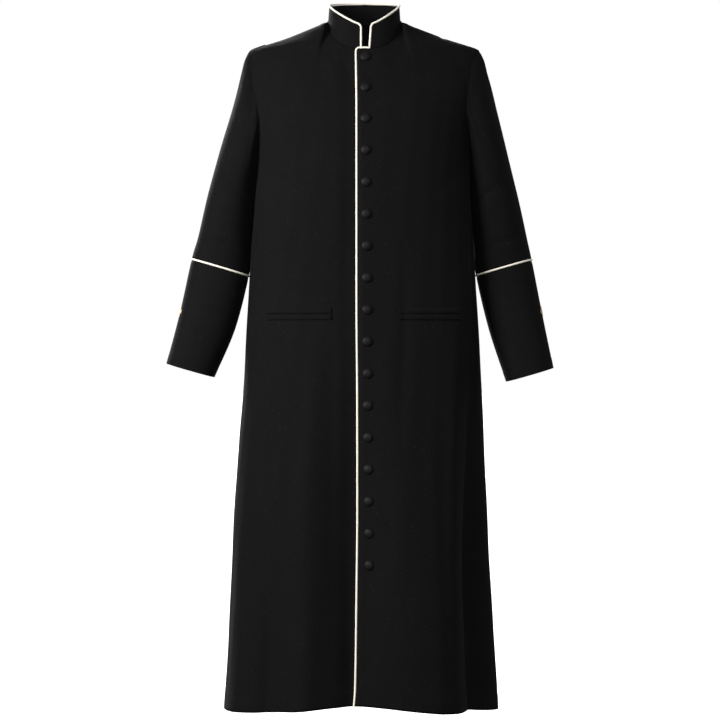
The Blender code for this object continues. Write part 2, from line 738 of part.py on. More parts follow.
def make_arm(side, suffix):
    """Make one sleeve, its cuff, the piping between them and the cuff's cross."""
    half = [180.0 * (1.0 - share) for share in UPPER_ROWS[::-1]] + [180.0]
    turns = half + [360.0 - turn for turn in half[-2::-1]]
    stations = [0.0, STRIP_STATION, 0.5] + [float(station) for station in range(1, int(CUFF_SEAM))]
    near = 0.02
    step = sleeve_point(side, CUFF_SEAM + near, SIDE) - sleeve_point(side, CUFF_SEAM - near, SIDE)
    pace = step.length / near / 2
    stations.append(CUFF_SEAM - (PIPING_OFFSET + SEAM_GAP) / pace)
    cuff = even_shares(CUFF_ROWS + 1, CUFF_SEAM + (PIPING_OFFSET + SEAM_GAP) / pace, CUFF_END)
    for name, rows in (("sleeve_", stations), ("cuff_", cuff)):
        cloth_sheet(
            name + suffix,
            CLOTH,
            turns,
            len(rows),
            lambda turn, row, rows=rows: sleeve_point(side, rows[row], turn),
            CLOTH_WALL,
            flip=side < 0,
            tube=True,
        )
    ring = [sleeve_point(side, CUFF_SEAM, turn) for turn in turns[:-1]]
    make_piping("cuff_piping_" + suffix, ring, closed=True)
    make_cross("cuff_cross_" + suffix, side)


def make_piping(name, points, closed=False):
    """Make a round piping along a path."""
    curve = bpy.data.curves.new(name, "CURVE")
    curve.dimensions = "3D"
    curve.bevel_depth = PIPING_RADIUS * MM
    curve.bevel_resolution = 2
    curve.use_fill_caps = True
    spline = curve.splines.new("POLY")
    spline.points.add(len(points) - 1)
    for knot, point in zip(spline.points, points):
        knot.co = (*(point * MM), 1.0)
    spline.use_cyclic_u = closed
    place(bpy.data.objects.new(name, curve), PIPING)


def make_collar():
    """Make the stand collar and the piping round its ends and top."""
    outline = collar_outline(0.0)

    def point(index, row):
        turn, top = outline[int(index)]
        base = collar_base(turn)
        return collar_point(turn, base + (top - base) * row / (COLLAR_ROWS - 1))

    cloth_sheet("collar", CLOTH, list(range(len(outline))), COLLAR_ROWS, point, COLLAR_WALL)
    path = collar_outline(PIPING_OFFSET)
    foot = OVERLAP_TOP + PIPING_OFFSET + PIPING_RADIUS + SEAM_GAP
    path = [(path[0][0], foot)] + path + [(path[-1][0], foot)]
    make_piping("collar_piping", [collar_point(turn, height) for turn, height in path])


def make_front_piping():
    """Make the piping along the top of the overlap, round its corner and down the front edge to the hem."""
    reach = OVERLAP_CORNER + PIPING_OFFSET
    edge_top = OVERLAP_TOP - OVERLAP_CORNER
    edge_x = read_table(FRONT_EDGE, "height", "piping_x", edge_top)
    start = neck_point(COLLAR_LEFT_END, 0.0).x - SEAM_GAP
    top = OVERLAP_TOP + PIPING_OFFSET
    places = [(start, top), (edge_x + reach, top)]
    for angle in (67.5, 45.0, 22.5, 0.0):
        along, up = math.cos(math.radians(angle)), math.sin(math.radians(angle))
        places.append((edge_x + reach * (1.0 - along), edge_top + reach * up))
    points = [body_point(turn_at(x, height), height)[0] for x, height in places]
    for row in range(LOWER_ROWS + len(UPPER_ROWS) - 1, -1, -1):
        edge = panel_point(FRONT_COLUMNS, 0, row, 1, front=True)
        if edge.z < edge_top:
            points.append(edge - Vector((PIPING_OFFSET, 0.0, 0.0)))
    make_piping("front_edge_piping", points)


def make_buttons():
    """Make the covered buttons, each a shallow dome turned about the way that the cloth faces."""
    profile = [(0.0, BUTTON_HEIGHT), (0.42, 0.95), (0.78, 0.72), (1.0, 0.3), (0.94, 0.0)]
    outline = [Vector((0.0, 0.0, BUTTON_HEIGHT))]
    outline += [Vector((BUTTON_RADIUS * x, 0.0, BUTTON_HEIGHT * z)) for x, z in profile[1:]]
    outline.append(Vector((0.0, 0.0, 0.0)))
    mesh = bpy.data.meshes.new("button")
    edges = [(index, index + 1) for index in range(len(outline) - 1)]
    mesh.from_pydata([point * MM for point in outline], edges, [])
    for number in range(BUTTON_COUNT):
        height = BUTTON_TOP - BUTTON_PITCH * number
        x = BUTTON_FIRST_X + (BUTTON_LAST_X - BUTTON_FIRST_X) * number / (BUTTON_COUNT - 1)
        point, facing = front_place(x, height, BUTTON_LIFT)
        obj = bpy.data.objects.new(f"button_{number + 1:02d}", mesh.copy())
        place(obj, BUTTON)
        obj.location = point * MM
        obj.rotation_mode = "QUATERNION"
        obj.rotation_quaternion = facing.to_track_quat("Z", "Y")
        screw = obj.modifiers.new("Turned dome", "SCREW")
        screw.steps = screw.render_steps = BUTTON_STEPS
        screw.use_merge_vertices = True
        screw.merge_threshold = 1e-4
        screw.use_normal_calculate = True


def make_pockets():
    """Make the two welts of each pocket, laid on the front's own surface."""
    for suffix, (start, end) in (("left", POCKET_LEFT), ("right", POCKET_RIGHT)):
        xs = even_shares(WELT_COLUMNS, start, end)
        for place_name, sign in (("upper", 1.0), ("lower", -1.0)):
            inner = POCKET_HEIGHT + sign * WELT_SPLIT / 2
            heights = sorted((inner, inner + sign * WELT_WIDTH))

            def point(x, row, heights=heights):
                return front_place(x, heights[row], WELT_LIFT)[0]

            cloth_sheet(f"pocket_{suffix}_{place_name}_welt", CLOTH, xs, 2, point, -WELT_THICKNESS)


def make_cross(name, side):
    """Make a cross with flared arms, laid on the cuff's outer side."""
    shell = bmesh.new()
    corners = ((-1.0, -1.0), (1.0, -1.0), (1.0, 1.0), (-1.0, 1.0))
    shell.faces.new([shell.verts.new((x * CROSS_NECK, y * CROSS_NECK, 0.0)) for x, y in corners])
    waist = (CROSS_REACH * CROSS_WAIST, CROSS_NECK * CROSS_SWELL)
    steps = ((CROSS_NECK, CROSS_NECK), waist, (CROSS_REACH, CROSS_FLARE))
    for quarter in range(4):
        along, across = math.cos(math.radians(90.0 * quarter)), math.sin(math.radians(90.0 * quarter))
        rows = []
        for reach, half in steps:
            ends = ((reach, -half), (reach, half))
            rows.append([(x * along - y * across, x * across + y * along) for x, y in ends])
        for inner, outer in zip(rows, rows[1:]):
            ring = (inner[0], outer[0], outer[1], inner[1])
            shell.faces.new([shell.verts.new((x, y, 0.0)) for x, y in ring])
    bmesh.ops.remove_doubles(shell, verts=shell.verts, dist=1e-4)
    for vertex in shell.verts:
        station = CROSS_STATION - vertex.co.y / CUFF_SEGMENT
        turn = CROSS_TURN + side * math.degrees(vertex.co.x / CUFF_RADIUS)
        vertex.co = sleeve_point(side, station, turn, CROSS_LIFT) * MM
    bmesh.ops.reverse_faces(shell, faces=shell.faces)
    mesh = bpy.data.meshes.new(name)
    shell.to_mesh(mesh)
    shell.free()
    obj = place(bpy.data.objects.new(name, mesh), THREAD)
    solidify = obj.modifiers.new("Thread", "SOLIDIFY")
    solidify.thickness = CROSS_THICKNESS * MM
    solidify.offset = 1.0


def main():
    """Clear the scene and make every piece of the cassock."""
    for obj in list(bpy.data.objects):
        bpy.data.objects.remove(obj)
    bpy.context.scene.collection.children.link(bpy.data.collections.new(GARMENT))
    make_body()
    make_collar()
    make_front_piping()
    make_arm(1, "left")
    make_arm(-1, "right")
    make_buttons()
    make_pockets()


main()
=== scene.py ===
"""The looks of a man's long black cassock, filled out as if worn, in a plain pale studio.

The wearer faces -Y, with their left side at +X and +Z up. Sizes are in millimetres unless a name says
otherwise, and meshes are in metres. Turns are degrees round the body from its centre front (0) past the
wearer's left side (90) to the back (180).
"""

import logging
import math
from dataclasses import dataclass, field
from enum import Enum
from typing import Any, Sequence

import bpy
import numpy as np
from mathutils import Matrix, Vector


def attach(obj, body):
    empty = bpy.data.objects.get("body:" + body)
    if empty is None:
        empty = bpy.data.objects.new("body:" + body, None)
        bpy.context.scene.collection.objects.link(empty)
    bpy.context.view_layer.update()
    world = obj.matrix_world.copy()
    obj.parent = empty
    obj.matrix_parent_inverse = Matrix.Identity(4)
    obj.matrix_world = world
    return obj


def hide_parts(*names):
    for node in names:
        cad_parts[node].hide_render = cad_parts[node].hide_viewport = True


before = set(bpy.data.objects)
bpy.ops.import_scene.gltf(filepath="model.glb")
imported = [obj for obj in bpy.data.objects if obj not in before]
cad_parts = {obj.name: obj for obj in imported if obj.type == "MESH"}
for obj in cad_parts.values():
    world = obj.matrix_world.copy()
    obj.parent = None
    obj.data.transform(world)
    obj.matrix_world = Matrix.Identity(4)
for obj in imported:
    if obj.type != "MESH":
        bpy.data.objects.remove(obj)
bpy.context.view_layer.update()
LOG = logging.getLogger("cassock")
MM = 0.001
DEGREE_WIDTH = 4.3
Array = np.ndarray


class Side(Enum):
    """The wearer's left (+X) and right (-X)."""

    LEFT = 1
    RIGHT = -1

    @property
    def word(self) -> str:
        """The side's name, as the frame's nodes have it."""
        return self.name.lower()


class Panel(Enum):
    """The three panels of the body, with the side that each is on (0 is both)."""

    FRONT_LEFT = 1
    FRONT_RIGHT = -1
    BACK = 0

    @property
    def front(self) -> bool:
        """Whether the panel is one of the two fronts."""
        return self is not Panel.BACK


def smooth_step(low: float, high: float, value: Any) -> Any:
    """Rise smoothly from 0 at low to 1 at high."""
    share = np.clip((value - low) / (high - low), 0.0, 1.0)
    return share * share * (3.0 - 2.0 * share)


def power(value: Any, exponent: Any) -> Any:
    """Raise the size of a number to a power and keep its sign."""
    return np.sign(value) * np.abs(value) ** exponent


def half_circle(turn: Any) -> Any:
    """A turn as degrees from -180 to 180."""
    return (turn + 180.0) % 360.0 - 180.0


def unit(vectors: Array) -> Array:
    """The same directions, each one long."""
    return vectors / np.maximum(np.linalg.norm(vectors, axis=-1, keepdims=True), 1e-9)


class Curve:
    """A smooth curve through a table's points, with no overshoot between them."""

    def __init__(self, keys: Sequence[float], values: Sequence[float]) -> None:
        """Keep the points in the order of their keys.

        Args:
            keys: Where each point is.
            values: The value at each point.
        """
        order = np.argsort(keys)
        self.keys = np.asarray(keys, float)[order]
        self.values = np.asarray(values, float)[order]
        slopes = np.diff(self.values) / np.diff(self.keys)
        before, after = slopes[:-1], slopes[1:]
        turns = before * after <= 0.0
        inner = np.where(turns, 0.0, 2.0 * before * after / np.where(turns, 1.0, before + after))
        self.tangents = np.concatenate([slopes[:1], inner, slopes[-1:]])

    def __call__(self, at: Any) -> Array:
        """Read the curve.

        Args:
            at: One place or an array of them.

        Returns:
            The values there, held level beyond the table's ends.
        """
        at = np.clip(at, self.keys[0], self.keys[-1])
        index = np.clip(np.searchsorted(self.keys, at, side="right") - 1, 0, len(self.keys) - 2)
        span = self.keys[index + 1] - self.keys[index]
        t = (at - self.keys[index]) / span
        rise = self.values[index + 1] - self.values[index]
        start, end = self.tangents[index] * span, self.tangents[index + 1] * span
        bend = 3 * rise - 2 * start - end + t * (start + end - 2 * rise)
        return self.values[index] + t * (start + t * bend)


@dataclass(frozen=True)
class Fold:
    """A long soft fold of the skirt, which stands out (+) or in (-)."""

    start: float
    full: float
    turn_start: float
    turn_hem: float
    half_spread: float
    depth: float


@dataclass(frozen=True)
class Crease:
    """A shorter crease along a path of (across, down) places, dying away at both ends.

    On the body, across is the turn and down is the height. On a sleeve, across is the turn round it and down
    is the height.
    """

    path: tuple[tuple[float, float], ...]
    half_width: float
    depth: float

    def push(self, across: Array, down: Array, scale: float) -> Array:
        """How far the crease pushes the cloth out.

        Args:
            across: Turns.
            down: Heights.
            scale: The width of one degree of turn.

        Returns:
            The push at each place.
        """
        points = np.array([(a * scale, d) for a, d in self.path])
        place = np.stack([across * scale, down], axis=-1)
        lengths = np.linalg.norm(np.diff(points, axis=0), axis=1)
        starts = np.concatenate([[0.0], np.cumsum(lengths)])
        nearest = np.full(across.shape, 1e9)
        along = np.zeros(across.shape)
        for index, length in enumerate(lengths):
            way = (points[index + 1] - points[index]) / length
            offset = place - points[index]
            part = np.clip(offset @ way, 0.0, length)
            distance = np.linalg.norm(offset - part[..., None] * way, axis=-1)
            closer = distance < nearest
            nearest = np.where(closer, distance, nearest)
            along = np.where(closer, (starts[index] + part) / starts[-1], along)
        fade = np.sin(np.pi * np.clip(along, 0.0, 1.0)) ** 0.8
        return self.depth * fade * np.exp(-((nearest / self.half_width) ** 2))


@dataclass
class BodyForm:
    """The filled-out body of the garment, held as level sections."""

    sections: tuple[tuple[float, ...], ...] = (
        (14.0, 74.5, 4.0, 70.0, 73.0, 2.4),
        (2.0, 75.5, 4.0, 71.0, 80.0, 2.4),
        (-6.0, 98.0, 4.0, 73.0, 83.0, 1.9),
        (-30.0, 161.0, 4.0, 76.0, 89.0, 1.45),
        (-60.0, 240.0, 4.0, 80.0, 99.0, 1.5),
        (-80.0, 247.0, 4.0, 86.0, 105.0, 1.65),
        (-110.0, 246.0, 4.0, 95.0, 112.0, 1.9),
        (-150.0, 240.0, 4.0, 108.0, 120.0, 2.2),
        (-200.0, 229.0, 3.0, 119.0, 125.0, 2.4),
        (-256.0, 220.0, 2.0, 124.0, 125.0, 2.5),
        (-300.0, 219.0, 2.0, 125.0, 121.0, 2.5),
        (-356.0, 222.5, 1.0, 124.0, 116.0, 2.5),
        (-468.0, 230.0, 0.5, 121.0, 111.0, 2.5),
        (-551.0, 235.3, 0.0, 122.0, 114.0, 2.5),
        (-607.0, 238.5, 0.0, 125.0, 119.0, 2.5),
        (-716.0, 244.0, 0.5, 131.0, 129.0, 2.45),
        (-856.0, 252.5, -1.5, 138.0, 140.0, 2.4),
        (-990.0, 260.5, -3.5, 143.0, 149.0, 2.4),
        (-1130.0, 266.5, -4.5, 147.0, 156.0, 2.35),
        (-1270.0, 273.0, -4.0, 151.0, 163.0, 2.3),
        (-1420.0, 281.5, -4.5, 155.0, 170.0, 2.3),
    )
    hem: tuple[tuple[float, float], ...] = (
        (-180.0, -1413.0),
        (-90.0, -1413.0),
        (-40.0, -1405.0),
        (-2.0, -1391.0),
        (38.0, -1406.0),
        (90.0, -1413.0),
        (180.0, -1413.0),
    )
    folds: tuple[Fold, ...] = (
        Fold(-560.0, -1150.0, -1.0, -1.0, 17.0, -16.0),
        Fold(-780.0, -1300.0, 24.0, 26.0, 20.0, 12.0),
        Fold(-620.0, -1150.0, 63.0, 59.0, 25.0, -27.0),
        Fold(-900.0, -1400.0, 82.0, 80.0, 16.0, 5.0),
        Fold(-950.0, -1350.0, -20.0, -18.0, 17.0, 5.0),
        Fold(-1050.0, -1400.0, -38.0, -36.0, 12.0, -6.0),
        Fold(-900.0, -1400.0, -58.0, -60.0, 20.0, 7.0),
        Fold(-420.0, -640.0, -128.0, -126.0, 24.0, -6.0),
        Fold(-640.0, -1300.0, -156.0, -152.0, 18.0, 13.0),
        Fold(-700.0, -1250.0, 178.0, 176.0, 15.0, -14.0),
        Fold(-660.0, -1350.0, 150.0, 147.0, 19.0, 15.0),
        Fold(-760.0, -1300.0, 122.0, 118.0, 15.0, -13.0),
    )
    creases: tuple[Crease, ...] = (
        Crease(((66.0, -560.0), (64.0, -860.0), (62.0, -1200.0), (60.0, -2000.0)), 31.0, -14.0),
        Crease(((46.0, -600.0), (44.0, -900.0), (42.0, -1200.0), (40.0, -2000.0)), 26.0, 8.0),
        Crease(((0.0, -640.0), (-1.0, -1000.0), (-1.0, -2000.0)), 19.0, -8.0),
        Crease(((-20.0, -640.0), (-21.0, -1000.0), (-21.0, -2000.0)), 24.0, 10.0),
        Crease(((17.0, -430.0), (15.0, -700.0), (14.0, -960.0)), 11.0, -2.2),
        Crease(((30.0, -760.0), (31.0, -1050.0), (33.0, -2000.0)), 16.0, 3.2),
        Crease(((-11.0, -640.0), (-10.0, -900.0), (-7.0, -1250.0)), 13.0, -2.4),
        Crease(((-27.0, -900.0), (-27.0, -1150.0), (-25.0, -2000.0)), 15.0, 3.0),
        Crease(((-44.0, -1020.0), (-41.0, -1200.0), (-38.0, -2000.0)), 12.0, -3.0),
        Crease(((-17.0, -74.0), (-11.0, -96.0), (-7.0, -122.0)), 6.0, -1.5),
        Crease(((-24.0, -80.0), (-17.0, -104.0), (-12.0, -140.0)), 7.0, 1.4),
        Crease(((22.0, -78.0), (15.0, -104.0), (10.0, -136.0)), 8.0, -1.1),
        Crease(((-66.0, -250.0), (-60.0, -190.0), (-57.0, -130.0)), 11.0, -2.6),
        Crease(((66.0, -250.0), (60.0, -190.0), (58.0, -130.0)), 11.0, -2.6),
        Crease(((-70.0, -290.0), (-46.0, -330.0), (-30.0, -350.0)), 15.0, -1.8),
        Crease(((70.0, -290.0), (48.0, -335.0), (32.0, -362.0)), 15.0, -1.8),
        Crease(((-78.0, -380.0), (-74.0, -520.0), (-70.0, -700.0)), 18.0, -3.0),
        Crease(((78.0, -380.0), (73.0, -520.0), (70.0, -720.0)), 18.0, -3.0),
        Crease(((118.0, -250.0), (124.0, -190.0), (126.0, -120.0)), 13.0, -3.4),
        Crease(((-118.0, -250.0), (-124.0, -190.0), (-126.0, -120.0)), 13.0, -3.4),
        Crease(((112.0, -290.0), (136.0, -330.0), (160.0, -345.0)), 16.0, -2.2),
        Crease(((-110.0, -286.0), (-138.0, -318.0), (-165.0, -330.0)), 17.0, -2.4),
        Crease(((168.0, -40.0), (172.0, -80.0), (176.0, -130.0)), 14.0, 1.3),
        Crease(((150.0, -380.0), (162.0, -520.0), (165.0, -700.0)), 20.0, -2.6),
        Crease(((-150.0, -420.0), (-160.0, -560.0), (-166.0, -760.0)), 20.0, -2.6),
        Crease(((134.0, -620.0), (133.0, -900.0), (131.0, -2000.0)), 17.0, 4.0),
        Crease(((-140.0, -700.0), (-138.0, -1000.0), (-136.0, -2000.0)), 17.0, -4.5),
        Crease(((-103.0, -620.0), (-104.0, -1000.0), (-106.0, -2000.0)), 17.0, -4.0),
    )

    def __post_init__(self) -> None:
        """Make the curves that the sections are read from."""
        heights = [row[0] for row in self.sections]
        names = ("half_width", "middle", "front", "back", "square")
        self.curves = {name: Curve(heights, [row[i] for row in self.sections]) for i, name in enumerate(names, 1)}
        self.hem_curve = Curve([row[0] for row in self.hem], [row[1] for row in self.hem])
        self.lowest = min(row[1] for row in self.hem)

    def read(self, name: str, height: Any) -> Array:
        """Read one size of the body at a height."""
        return self.curves[name](height)

    def hem_height(self, turn: Any) -> Array:
        """The height of the hem at one turn."""
        return self.hem_curve(half_circle(turn))

    def push(self, turn: Array, height: Array) -> Array:
        """How far the folds and creases push the cloth out.

        Args:
            turn: Turns round the body.
            height: Heights.

        Returns:
            The push at each place, in the direction that faces out.
        """
        total = np.zeros(np.broadcast(turn, height).shape)
        for fold in self.folds:
            run = (fold.start - height) / (fold.start - self.lowest)
            centre = fold.turn_start + (fold.turn_hem - fold.turn_start) * run
            away = np.abs(half_circle(turn - centre)) / fold.half_spread
            reach = smooth_step(-fold.start, -fold.full, -height)
            total += np.where(away < 1.0, fold.depth * reach * (0.5 + 0.5 * np.cos(np.pi * away)), 0.0)
        for crease in self.creases:
            total += crease.push(half_circle(turn), height + 0.0 * turn, DEGREE_WIDTH)
        ripple = np.sin(turn * 0.31 + height * 0.011) * np.sin(height * 0.023 - turn * 0.17)
        return total + 0.55 * ripple * smooth_step(-40.0, 120.0, -height)

    def point(self, turn: Array, height: Array) -> tuple[Array, Array]:
        """Points on the body's outer surface.

        Args:
            turn: Turns round the body.
            height: Heights.

        Returns:
            The points, and the level direction that faces out at each.
        """
        turn, height = np.broadcast_arrays(np.asarray(turn, float), np.asarray(height, float))
        size = {name: self.read(name, height) for name in self.curves}
        across, along = np.sin(np.radians(turn)), np.cos(np.radians(turn))
        depth = np.where(along > 0.0, size["front"], size["back"])
        steep = 2.0 - 2.0 / size["square"]
        flat = np.zeros_like(turn)
        facing = np.stack([power(across, steep) / size["half_width"], -power(along, steep) / depth, flat], -1)
        facing = unit(facing)
        x = size["middle"] + size["half_width"] * power(across, 2.0 / size["square"])
        y = -depth * power(along, 2.0 / size["square"])
        return np.stack([x, y, height], -1) + facing * self.push(turn, height)[..., None], facing

    def turn_at(self, x: Any, height: Any) -> Array:
        """The turn, on the front, at which the surface has this x at this height."""
        share = np.clip((x - self.read("middle", height)) / self.read("half_width", height), -1.0, 1.0)
        return np.degrees(np.arcsin(power(share, self.read("square", height) / 2.0)))

    def front_place(self, x: Array, height: Array, lift: Any) -> tuple[Array, Array]:
        """Points lifted off the left front's surface.

        Args:
            x: Places across.
            height: Heights.
            lift: How far off the surface each point is.

        Returns:
            The points, and the direction that the cloth faces at each.
        """
        turn = self.turn_at(x, height)
        across = self.point(turn + 1.5, height)[0] - self.point(turn - 1.5, height)[0]
        up = self.point(turn, height + 8.0)[0] - self.point(turn, height - 8.0)[0]
        facing = unit(np.cross(across, up))
        return self.point(turn, height)[0] + facing * np.asarray(lift)[..., None], facing


@dataclass
class NeckForm:
    """The ring that the collar stands on, and the collar's own edges."""

    middle: float = 4.0
    half_width: float = 75.0
    front: float = 80.0
    back: float = 76.0
    square: float = 2.4
    top_scale: float = 0.97
    left_end: float = 9.5
    right_end: float = 352.5
    left_lean: float = 3.0
    corner: float = 8.0
    layer_drop: float = 3.2
    rows: tuple[tuple[float, float, float], ...] = (
        (0.0, -62.5, -18.0),
        (16.0, -61.5, -11.0),
        (30.0, -56.5, -1.5),
        (50.0, -40.0, 14.0),
        (70.0, -19.0, 27.5),
        (90.0, 2.0, 35.0),
        (120.0, 8.0, 44.0),
        (150.0, 9.0, 50.0),
        (180.0, 9.0, 52.0),
    )

    def __post_init__(self) -> None:
        """Make the curves of the collar's lower and upper edge."""
        turns = [row[0] for row in self.rows]
        self.base = Curve(turns, [row[1] for row in self.rows])
        self.top = Curve(turns, [row[2] for row in self.rows])

    def ring(self, turn: Any, height: Any, scale: Any = 1.0) -> Array:
        """Points on the neck ring.

        Args:
            turn: Turns round the neck.
            height: The height of each point.
            scale: The ring's size there.

        Returns:
            The points.
        """
        across, along = np.sin(np.radians(turn)), np.cos(np.radians(turn))
        out = (np.abs(across) ** self.square + np.abs(along) ** self.square) ** (-1.0 / self.square) * scale
        depth = np.where(along > 0.0, self.front, self.back)
        x = self.middle + self.half_width * out * across
        return np.stack(np.broadcast_arrays(x, -depth * out * along, height), -1)

    def collar_point(self, turn: Array, height: Array) -> Array:
        """Points on the collar's outer surface, whose right end lies behind the overlap.

        Args:
            turn: Turns round the neck.
            height: Heights.

        Returns:
            The points.
        """
        signed = half_circle(turn)
        base, top = self.base(np.abs(signed)), self.top(np.abs(signed))
        rise = (height - base) / (top - base)
        lean = self.left_lean * rise * (1.0 - smooth_step(0.0, 60.0, signed))
        turn = turn + np.where(signed > 0.0, lean, 0.0)
        point = self.ring(turn, height, 1.0 + (self.top_scale - 1.0) * rise)
        outward = point - np.array([self.middle, 0.0, 0.0])
        outward[..., 2] = 0.0
        drop = np.where(signed < 0.0, self.layer_drop * (1.0 - smooth_step(10.0, 40.0, -signed)), 0.0)
        return point - unit(outward) * drop[..., None]

    def outline(self, offset: float, count: int = 90) -> Array:
        """The collar's outline: up its left end, round the top, and down its right end.

        Args:
            offset: How far outside the collar's edge the outline runs.
            count: How many places the top has.

        Returns:
            (turn, height) rows.
        """
        degree = math.radians(1.0) * self.half_width
        reach = self.corner + offset
        ends = []
        for end, towards in ((self.left_end, 1.0), (self.right_end, -1.0)):
            centre = end + towards * self.corner / degree
            away = abs(half_circle(centre))
            slope = float(self.top(away + 1.0) - self.top(away - 1.0)) / 2.0 / degree
            last = math.atan2(1.0, slope)
            join = away - self.corner * math.cos(last) / degree
            height = float(self.top(join)) - self.corner * math.sin(last)
            angles = np.linspace(0.0, last, 9)
            turns = centre - towards * reach * np.cos(angles) / degree
            ends.append(np.stack([turns, height + reach * np.sin(angles)], -1))
        turns = np.linspace(ends[0][-1][0], ends[1][-1][0], count)[1:-1]
        away = np.abs(half_circle(turns))
        slope = (self.top(away + 1.0) - self.top(away - 1.0)) / 2.0 / degree
        top = np.stack([turns, self.top(away) + offset * np.hypot(1.0, slope)], -1)
        return np.concatenate([ends[0], top, ends[1][::-1]])


@dataclass
class Pattern:
    """How the body's panels are cut: their front edge, armhole, neckline and shoulder seam."""

    body: BodyForm
    neck: NeckForm
    overlap_top: float = -63.3
    corner: float = 5.0
    piping_offset: float = 2.4
    neck_rise: float = 1.6
    underarm: float = -256.0
    shoulder_tip: float = -60.0
    tip_reach: float = 240.0
    layer_drop: float = 3.2
    sink_x: tuple[float, float] = (-52.0, -26.0)
    edge_rows: tuple[tuple[float, float, float], ...] = (
        (-1400.0, -18.5, 38.0),
        (-1355.0, -15.0, 38.0),
        (-1190.0, -12.4, 38.0),
        (-985.0, -10.4, 38.0),
        (-780.0, -10.6, 38.0),
        (-570.0, -12.0, 38.0),
        (-200.0, -12.0, 38.0),
        (-60.0, -13.6, 18.0),
    )
    armhole_rows: tuple[tuple[float, float, float, float], ...] = (
        (-256.0, 220.0, 220.0, 220.0),
        (-242.0, 217.0, 216.0, 219.5),
        (-219.0, 213.0, 213.0, 219.0),
        (-180.0, 209.0, 217.0, 220.0),
        (-137.0, 212.0, 228.0, 223.0),
        (-106.0, 217.0, 232.0, 228.0),
        (-76.0, 225.0, 234.0, 233.0),
        (-60.0, 240.0, 240.0, 240.0),
    )
    front_columns: tuple[tuple[float, float, float], ...] = (
        (0.0, 0.0, 0.0),
        (0.07, 9.5, 0.0),
        (0.11, 22.0, 0.0),
        (0.165, 36.0, 0.0),
        (0.23, 50.0, 0.0),
        (0.305, 64.0, 0.0),
        (0.38, 77.0, 0.0),
        (0.46, 90.0, 0.0),
        (0.56, 90.0, 0.18),
        (0.66, 90.0, 0.38),
        (0.77, 90.0, 0.60),
        (0.89, 90.0, 0.82),
        (1.0, 90.0, 1.0),
    )
    back_columns: tuple[tuple[float, float, float], ...] = (
        (0.0, 180.0, 0.0),
        (0.09, 160.0, 0.0),
        (0.18, 141.0, 0.0),
        (0.27, 123.0, 0.0),
        (0.35, 106.0, 0.0),
        (0.43, 90.0, 0.0),
        (0.54, 90.0, 0.18),
        (0.65, 90.0, 0.38),
        (0.77, 90.0, 0.60),
        (0.89, 90.0, 0.82),
        (1.0, 90.0, 1.0),
    )

    def __post_init__(self) -> None:
        """Make the curves of the front edge and the armholes."""
        heights = [row[0] for row in self.edge_rows]
        self.piping_x = Curve(heights, [row[1] for row in self.edge_rows])
        self.underlap = Curve(heights, [row[2] for row in self.edge_rows])
        heights = [row[0] for row in self.armhole_rows]
        order = (Panel.FRONT_LEFT, Panel.FRONT_RIGHT, Panel.BACK)
        self.armhole = {
            panel: Curve(heights, [row[i] for row in self.armhole_rows]) for i, panel in enumerate(order, 1)
        }
        levels = np.linspace(self.shoulder_tip, float(self.neck.base(90.0)), 400)
        self.ridge = (self.body.read("half_width", levels)[::-1], levels[::-1])

    def edge_x(self, panel: Panel, height: Any) -> Array:
        """Where a front panel's inner edge runs at a height; the left one's top corner is rounded."""
        x = self.piping_x(height) + self.piping_offset
        if panel is Panel.FRONT_RIGHT:
            return x + self.underlap(height)
        rise = np.clip((height - self.overlap_top + self.corner) / self.corner, 0.0, 1.0)
        return x + self.corner * (1.0 - np.sqrt(1.0 - rise * rise))

    def rim(self, panel: Panel, share: Any) -> tuple[Array, Array]:
        """The armhole's edge from the underarm (0) to the shoulder tip (1), as turns (0 to 90) and heights."""
        height = self.underarm + (self.shoulder_tip - self.underarm) * smooth_step(0.0, 1.0, share)
        reach = np.minimum(1.0, self.armhole[panel](height) / self.body.read("half_width", height))
        turn = np.degrees(np.arcsin(reach ** (self.body.read("square", height) / 2.0)))
        return np.where((share <= 0.0) | (share >= 1.0), 90.0, turn), height

    def top(self, panel: Panel, side: int, share: Array) -> tuple[Array, Array, Array]:
        """The top end of a panel's columns.

        Args:
            panel: The panel.
            side: 1 on the wearer's left, -1 on their right.
            share: Each column's share of the way round to the side seam.

        Returns:
            The points, how far each is from the body's own surface, and each column's turn round the neck.
        """
        columns = self.front_columns if panel.front else self.back_columns
        shares = [column[0] for column in columns]
        neck_turn = np.interp(share, shares, [column[1] for column in columns])
        seam_share = np.interp(share, shares, [column[2] for column in columns])
        end = self.neck.left_end if side > 0 else 360.0 - self.neck.right_end
        near = np.clip(neck_turn / self.neck.left_end, 0.0, 1.0)
        turn = np.where(neck_turn < self.neck.left_end, near * end, neck_turn)
        neckline = self.neck.base(turn) + self.neck_rise
        height = self.overlap_top + (neckline - self.overlap_top) * smooth_step(end, end + 8.0, turn)
        point = self.neck.ring(side * turn, height)
        if panel.front:
            inner = float(self.edge_x(panel, self.overlap_top))
            outer = self.neck.ring(side * end, 0.0)[0]
            point[..., 0] = np.where(turn < end, inner + (outer - inner) * near, point[..., 0])
        reach = self.neck.half_width + (self.tip_reach - self.neck.half_width) * seam_share
        ridge = np.interp(reach, *self.ridge) + self.neck_rise * (1.0 - smooth_step(0.0, 0.12, seam_share))
        seam = np.stack([self.neck.middle + side * reach, 0.0 * reach, ridge], -1)
        on_seam = neck_turn >= 90.0 if panel.front else neck_turn <= 90.0
        point = np.where(on_seam[..., None], seam, point)
        base_turn = self.body.turn_at(point[..., 0], point[..., 2])
        base, _ = self.body.point(base_turn if panel.front else 180.0 - base_turn, point[..., 2])
        return point, point - base, neck_turn

